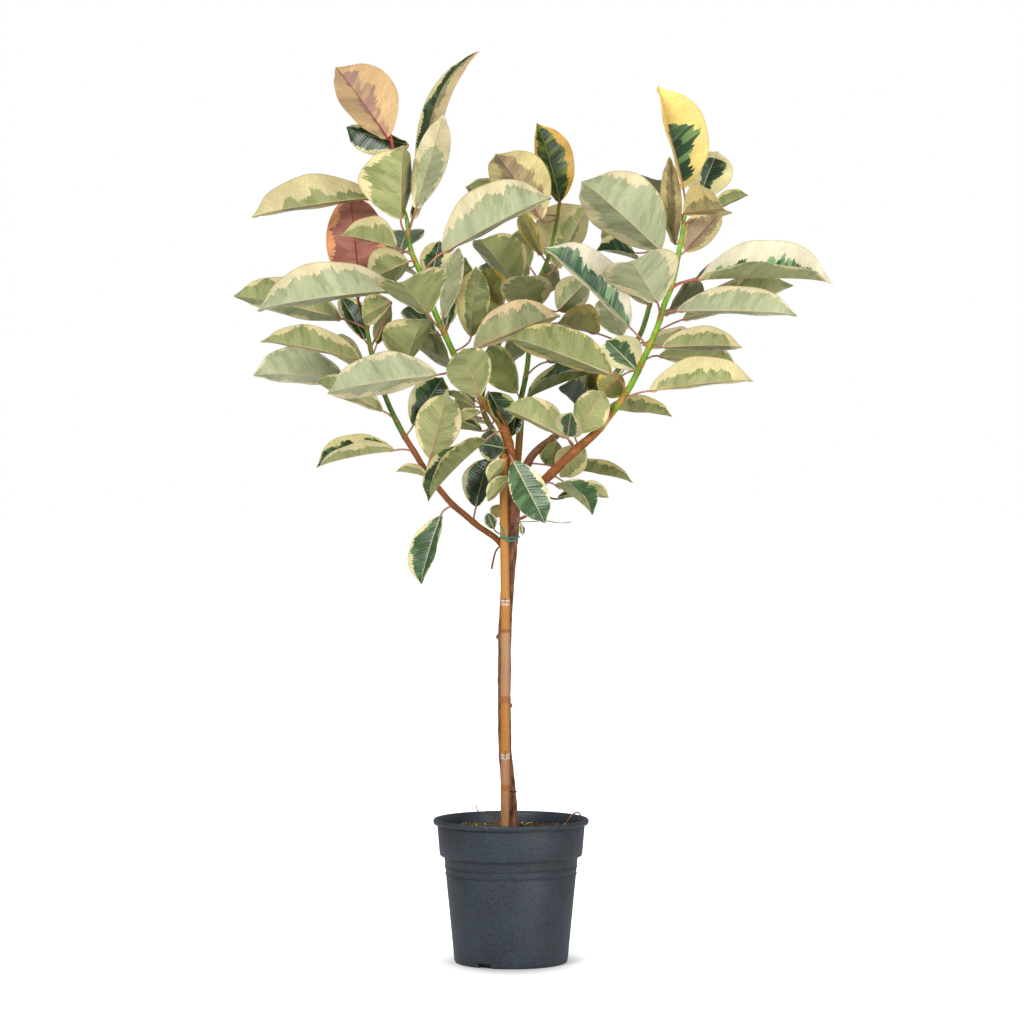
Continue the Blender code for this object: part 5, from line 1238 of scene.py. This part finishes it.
def soil(peat, moss, perlite, straw):
    """The root ball with its crumbs, a mossy side, perlite grains and a few bits of straw."""
    crown = [(step * SOIL_RADIUS / SOIL_RINGS, SOIL_TOP) for step in range(SOIL_RINGS + 1)]
    ball = turned(crown + list(ROOT_BALL), POT_SIDES, False)
    for vert in ball.verts:
        if vert.co.z > SOIL_TOP - 1.0 * MM:
            vert.co.z = soil_height(vert.co.x, vert.co.y)
    parts = [ball]
    for first in range(0, CRUMBS, CRUMBS_A_BATCH):
        batch = bmesh.new()
        for number in range(first, min(first + CRUMBS_A_BATCH, CRUMBS)):
            crumb(batch, number)
        parts.append(batch)
    for x, y, turn, length in STRAWS:
        start = Vector((x, y, soil_height(x, y) + 1.6 * MM))
        end = start + Vector((math.cos(turn), math.sin(turn), 0.04)) * length
        middle = (start + end) * 0.5 + Vector((0.0, 0.0, 1.5 * MM))
        parts.append(sweep([start, middle, end], [0.7 * MM, 0.9 * MM, 0.5 * MM], 6, 3))
    return joined("soil_surface", parts, peat, moss, perlite, straw)


def post_at(knots, y):
    """Middle and radius of a post at a height of the front view."""
    for first, second in zip(knots, knots[1:]):
        if second[1] <= y <= first[1]:
            share = (y - first[1]) / (second[1] - first[1])
            spot = [a + (b - a) * share for a, b in zip(first, second)]
            return place(*spot[:3]), spot[3] * MM
    raise ValueError("no post at that height")


def turn_of(a, b, c):
    """Above zero where the way from a over b to c turns left."""
    return (b[0] - a[0]) * (c[1] - a[1]) - (b[1] - a[1]) * (c[0] - a[0])


def taut_loop(centres, radii, clearance, steps):
    """A loop round two round posts, as points on the hull of their swollen circles."""
    spots = []
    for centre, radius in zip(centres, radii):
        for number in range(steps):
            angle = 2.0 * math.pi * number / steps
            reach = radius + clearance
            spots.append((centre[0] + reach * math.cos(angle), centre[1] + reach * math.sin(angle)))
    spots.sort()

    def half_hull(items):
        """The spots along one side of the hull."""
        chain = []
        for spot in items:
            while len(chain) > 1 and turn_of(chain[-2], chain[-1], spot) <= 1e-12:
                chain.pop()
            chain.append(spot)
        return chain[:-1]

    return half_hull(spots) + half_hull(spots[::-1])


def upper_tie(material):
    """Coated wire round cane and trunk, twisted in front, with an eye and a tail."""
    trunk_centre, trunk_radius = post_at(TRUNK, TIE_HEIGHT_Y)
    cane_centre, cane_radius = post_at(CANE, TIE_HEIGHT_Y)
    loop = taut_loop((trunk_centre, cane_centre), (trunk_radius, cane_radius), TIE_RADIUS + TIE_GAP, 40)
    points = [Vector((x, y, cane_centre.z)) for x, y in loop]
    parts = [sweep(points, [TIE_RADIUS] * len(points), 12, closed=True)]
    parts += [grid_sweep(knots, 12, 2.0 * MM) for knots in (TIE_TAIL, TIE_LOOP_EYE)]
    return joined("coated_wire_tie", parts, material)


def lower_string(material):
    """Thin dark string knotted round the trunk just above the soil."""
    centre, radius = post_at(TRUNK, STRING_HEIGHT_Y)
    points = []
    reach = radius + STRING_RADIUS + STRING_GAP
    for number in range(STRING_STEPS):
        angle = 2.0 * math.pi * number / STRING_STEPS
        rise = -STRING_TILT * math.cos(angle)
        points.append(centre + Vector((reach * math.cos(angle), reach * math.sin(angle), rise)))
    ring = sweep(points, [STRING_RADIUS] * len(points), 10, closed=True)
    return shape_object("dark_string", ring, material)


def loose_wood(name, knots, material):
    """A root or a twig along knots of the front view."""
    return shape_object(name, grid_sweep(knots, 12, 2.0 * MM), material)


def white_surroundings():
    """Surroundings that light the plant softly and that the camera sees as plain white."""
    world = bpy.data.worlds.new("studio")
    bpy.context.scene.world = world
    world.use_nodes = True
    tree = world.node_tree
    soft = tree.nodes["Background"]
    soft.inputs["Color"].default_value = WHITE
    soft.inputs["Strength"].default_value = AMBIENT
    seen = add_node(tree, "ShaderNodeBackground", [("Color", WHITE), ("Strength", 1.0)])
    rays = add_node(tree, "ShaderNodeLightPath")
    both = add_node(tree, "ShaderNodeMixShader", [(0, rays.outputs["Is Camera Ray"]), (1, soft), (2, seen)])
    tree.links.new(both.outputs[0], tree.nodes["World Output"].inputs["Surface"])


def floor():
    """White paper sweep, which stays white to the horizon: it glows farther away from the pot."""
    material, tree, shader = new_material("studio_floor", Roughness=0.9, Emission_Color=WHITE)
    shader.inputs["Base Color"].default_value = linear("E8E8E8")
    spot = add_node(tree, "ShaderNodeTexCoord").outputs["Object"]
    squeezed = add_node(tree, "ShaderNodeMapping", [("Vector", spot), ("Scale", (1.5, 1.0, 1.0))])
    away = add_node(tree, "ShaderNodeVectorMath", [(0, squeezed)], operation="LENGTH")
    glow = add_node(tree, "ShaderNodeMapRange", [(0, away.outputs["Value"]), (1, FLOOR_GLOW[0]),
                                                 (2, FLOOR_GLOW[1]), (3, 0.0), (4, 1.0)])
    rays = add_node(tree, "ShaderNodeLightPath")
    shown = add_node(tree, "ShaderNodeMath", [(0, glow), (1, rays.outputs["Is Camera Ray"])],
                     operation="MULTIPLY")
    tree.links.new(shown.outputs[0], shader.inputs["Emission Strength"])
    sheet = bmesh.new()
    bmesh.ops.create_grid(sheet, x_segments=1, y_segments=1, size=FLOOR_REACH)
    shape_object("studio_floor", sheet, material)


def aimed(name, data, spot, target):
    """Puts a lamp or the camera at a spot, turned to a target."""
    item = bpy.data.objects.new(name, data)
    item.location = spot
    item.rotation_euler = (Vector(target) - Vector(spot)).to_track_quat("-Z", "Y").to_euler()
    bpy.context.scene.collection.objects.link(item)
    return item


def studio():
    """White floor, white surroundings, broad soft lights and the camera of the front view."""
    white_surroundings()
    floor()
    for name, spot, size, power in LIGHTS:
        light = bpy.data.lights.new(name, "AREA")
        light.size = size
        light.energy = power
        aimed(name, light, spot, LAMP_AIM)
    lens = bpy.data.cameras.new("camera")
    lens.sensor_width = SENSOR_WIDTH
    lens.lens = LENS
    eye = (CAMERA_X, -EYE_DISTANCE, EYE_HEIGHT)
    bpy.context.scene.camera = aimed("camera", lens, eye, (CAMERA_X, 0.0, AIM_HEIGHT))
    bpy.context.scene.view_settings.view_transform = "Standard"


def dress(piece, node, slot):
    """Lets a piece stand for its plain solid. The slot is not used."""
    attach(piece, "root")
    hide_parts(node)


def main():
    """Loads the frame, sets up the studio and dresses each of its nodes."""
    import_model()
    studio()
    materials = (blade_material("waxy_leaf_top", 0.30, 0.50, 0.05, 0.55),
                 blade_material("matt_leaf_underside", 0.44, 0.36, 0.07, 0.9), stem_material())
    bark = bark_material()
    twine, coated, peat, moss, perlite, straw = [
        grainy_material(name, *values) for name, values in GRAINY.items()]
    dress(pot(plastic_material()), "pot", "nursery_plastic")
    dress(soil(peat, moss, perlite, straw), "soil", "potting_soil")
    dress(trunk(bark, materials), "trunk", "brown_bark")
    dress(cane(bamboo_material()), "bamboo_cane", "bamboo")
    for number, name in enumerate(STEMS):
        dress(leafy_stem(name, materials, STEM_SEED * number), name, "variegated_leaf")
    dress(upper_tie(coated), "upper_tie", "coated_wire")
    dress(lower_string(twine), "lower_string", "dark_twine")
    dress(loose_wood("root_loop_bark", ROOT_LOOP, bark), "root_loop", "brown_bark")
    dress(loose_wood("dry_twig_bark", DRY_TWIG, bark), "dry_twig", "brown_bark")


main()
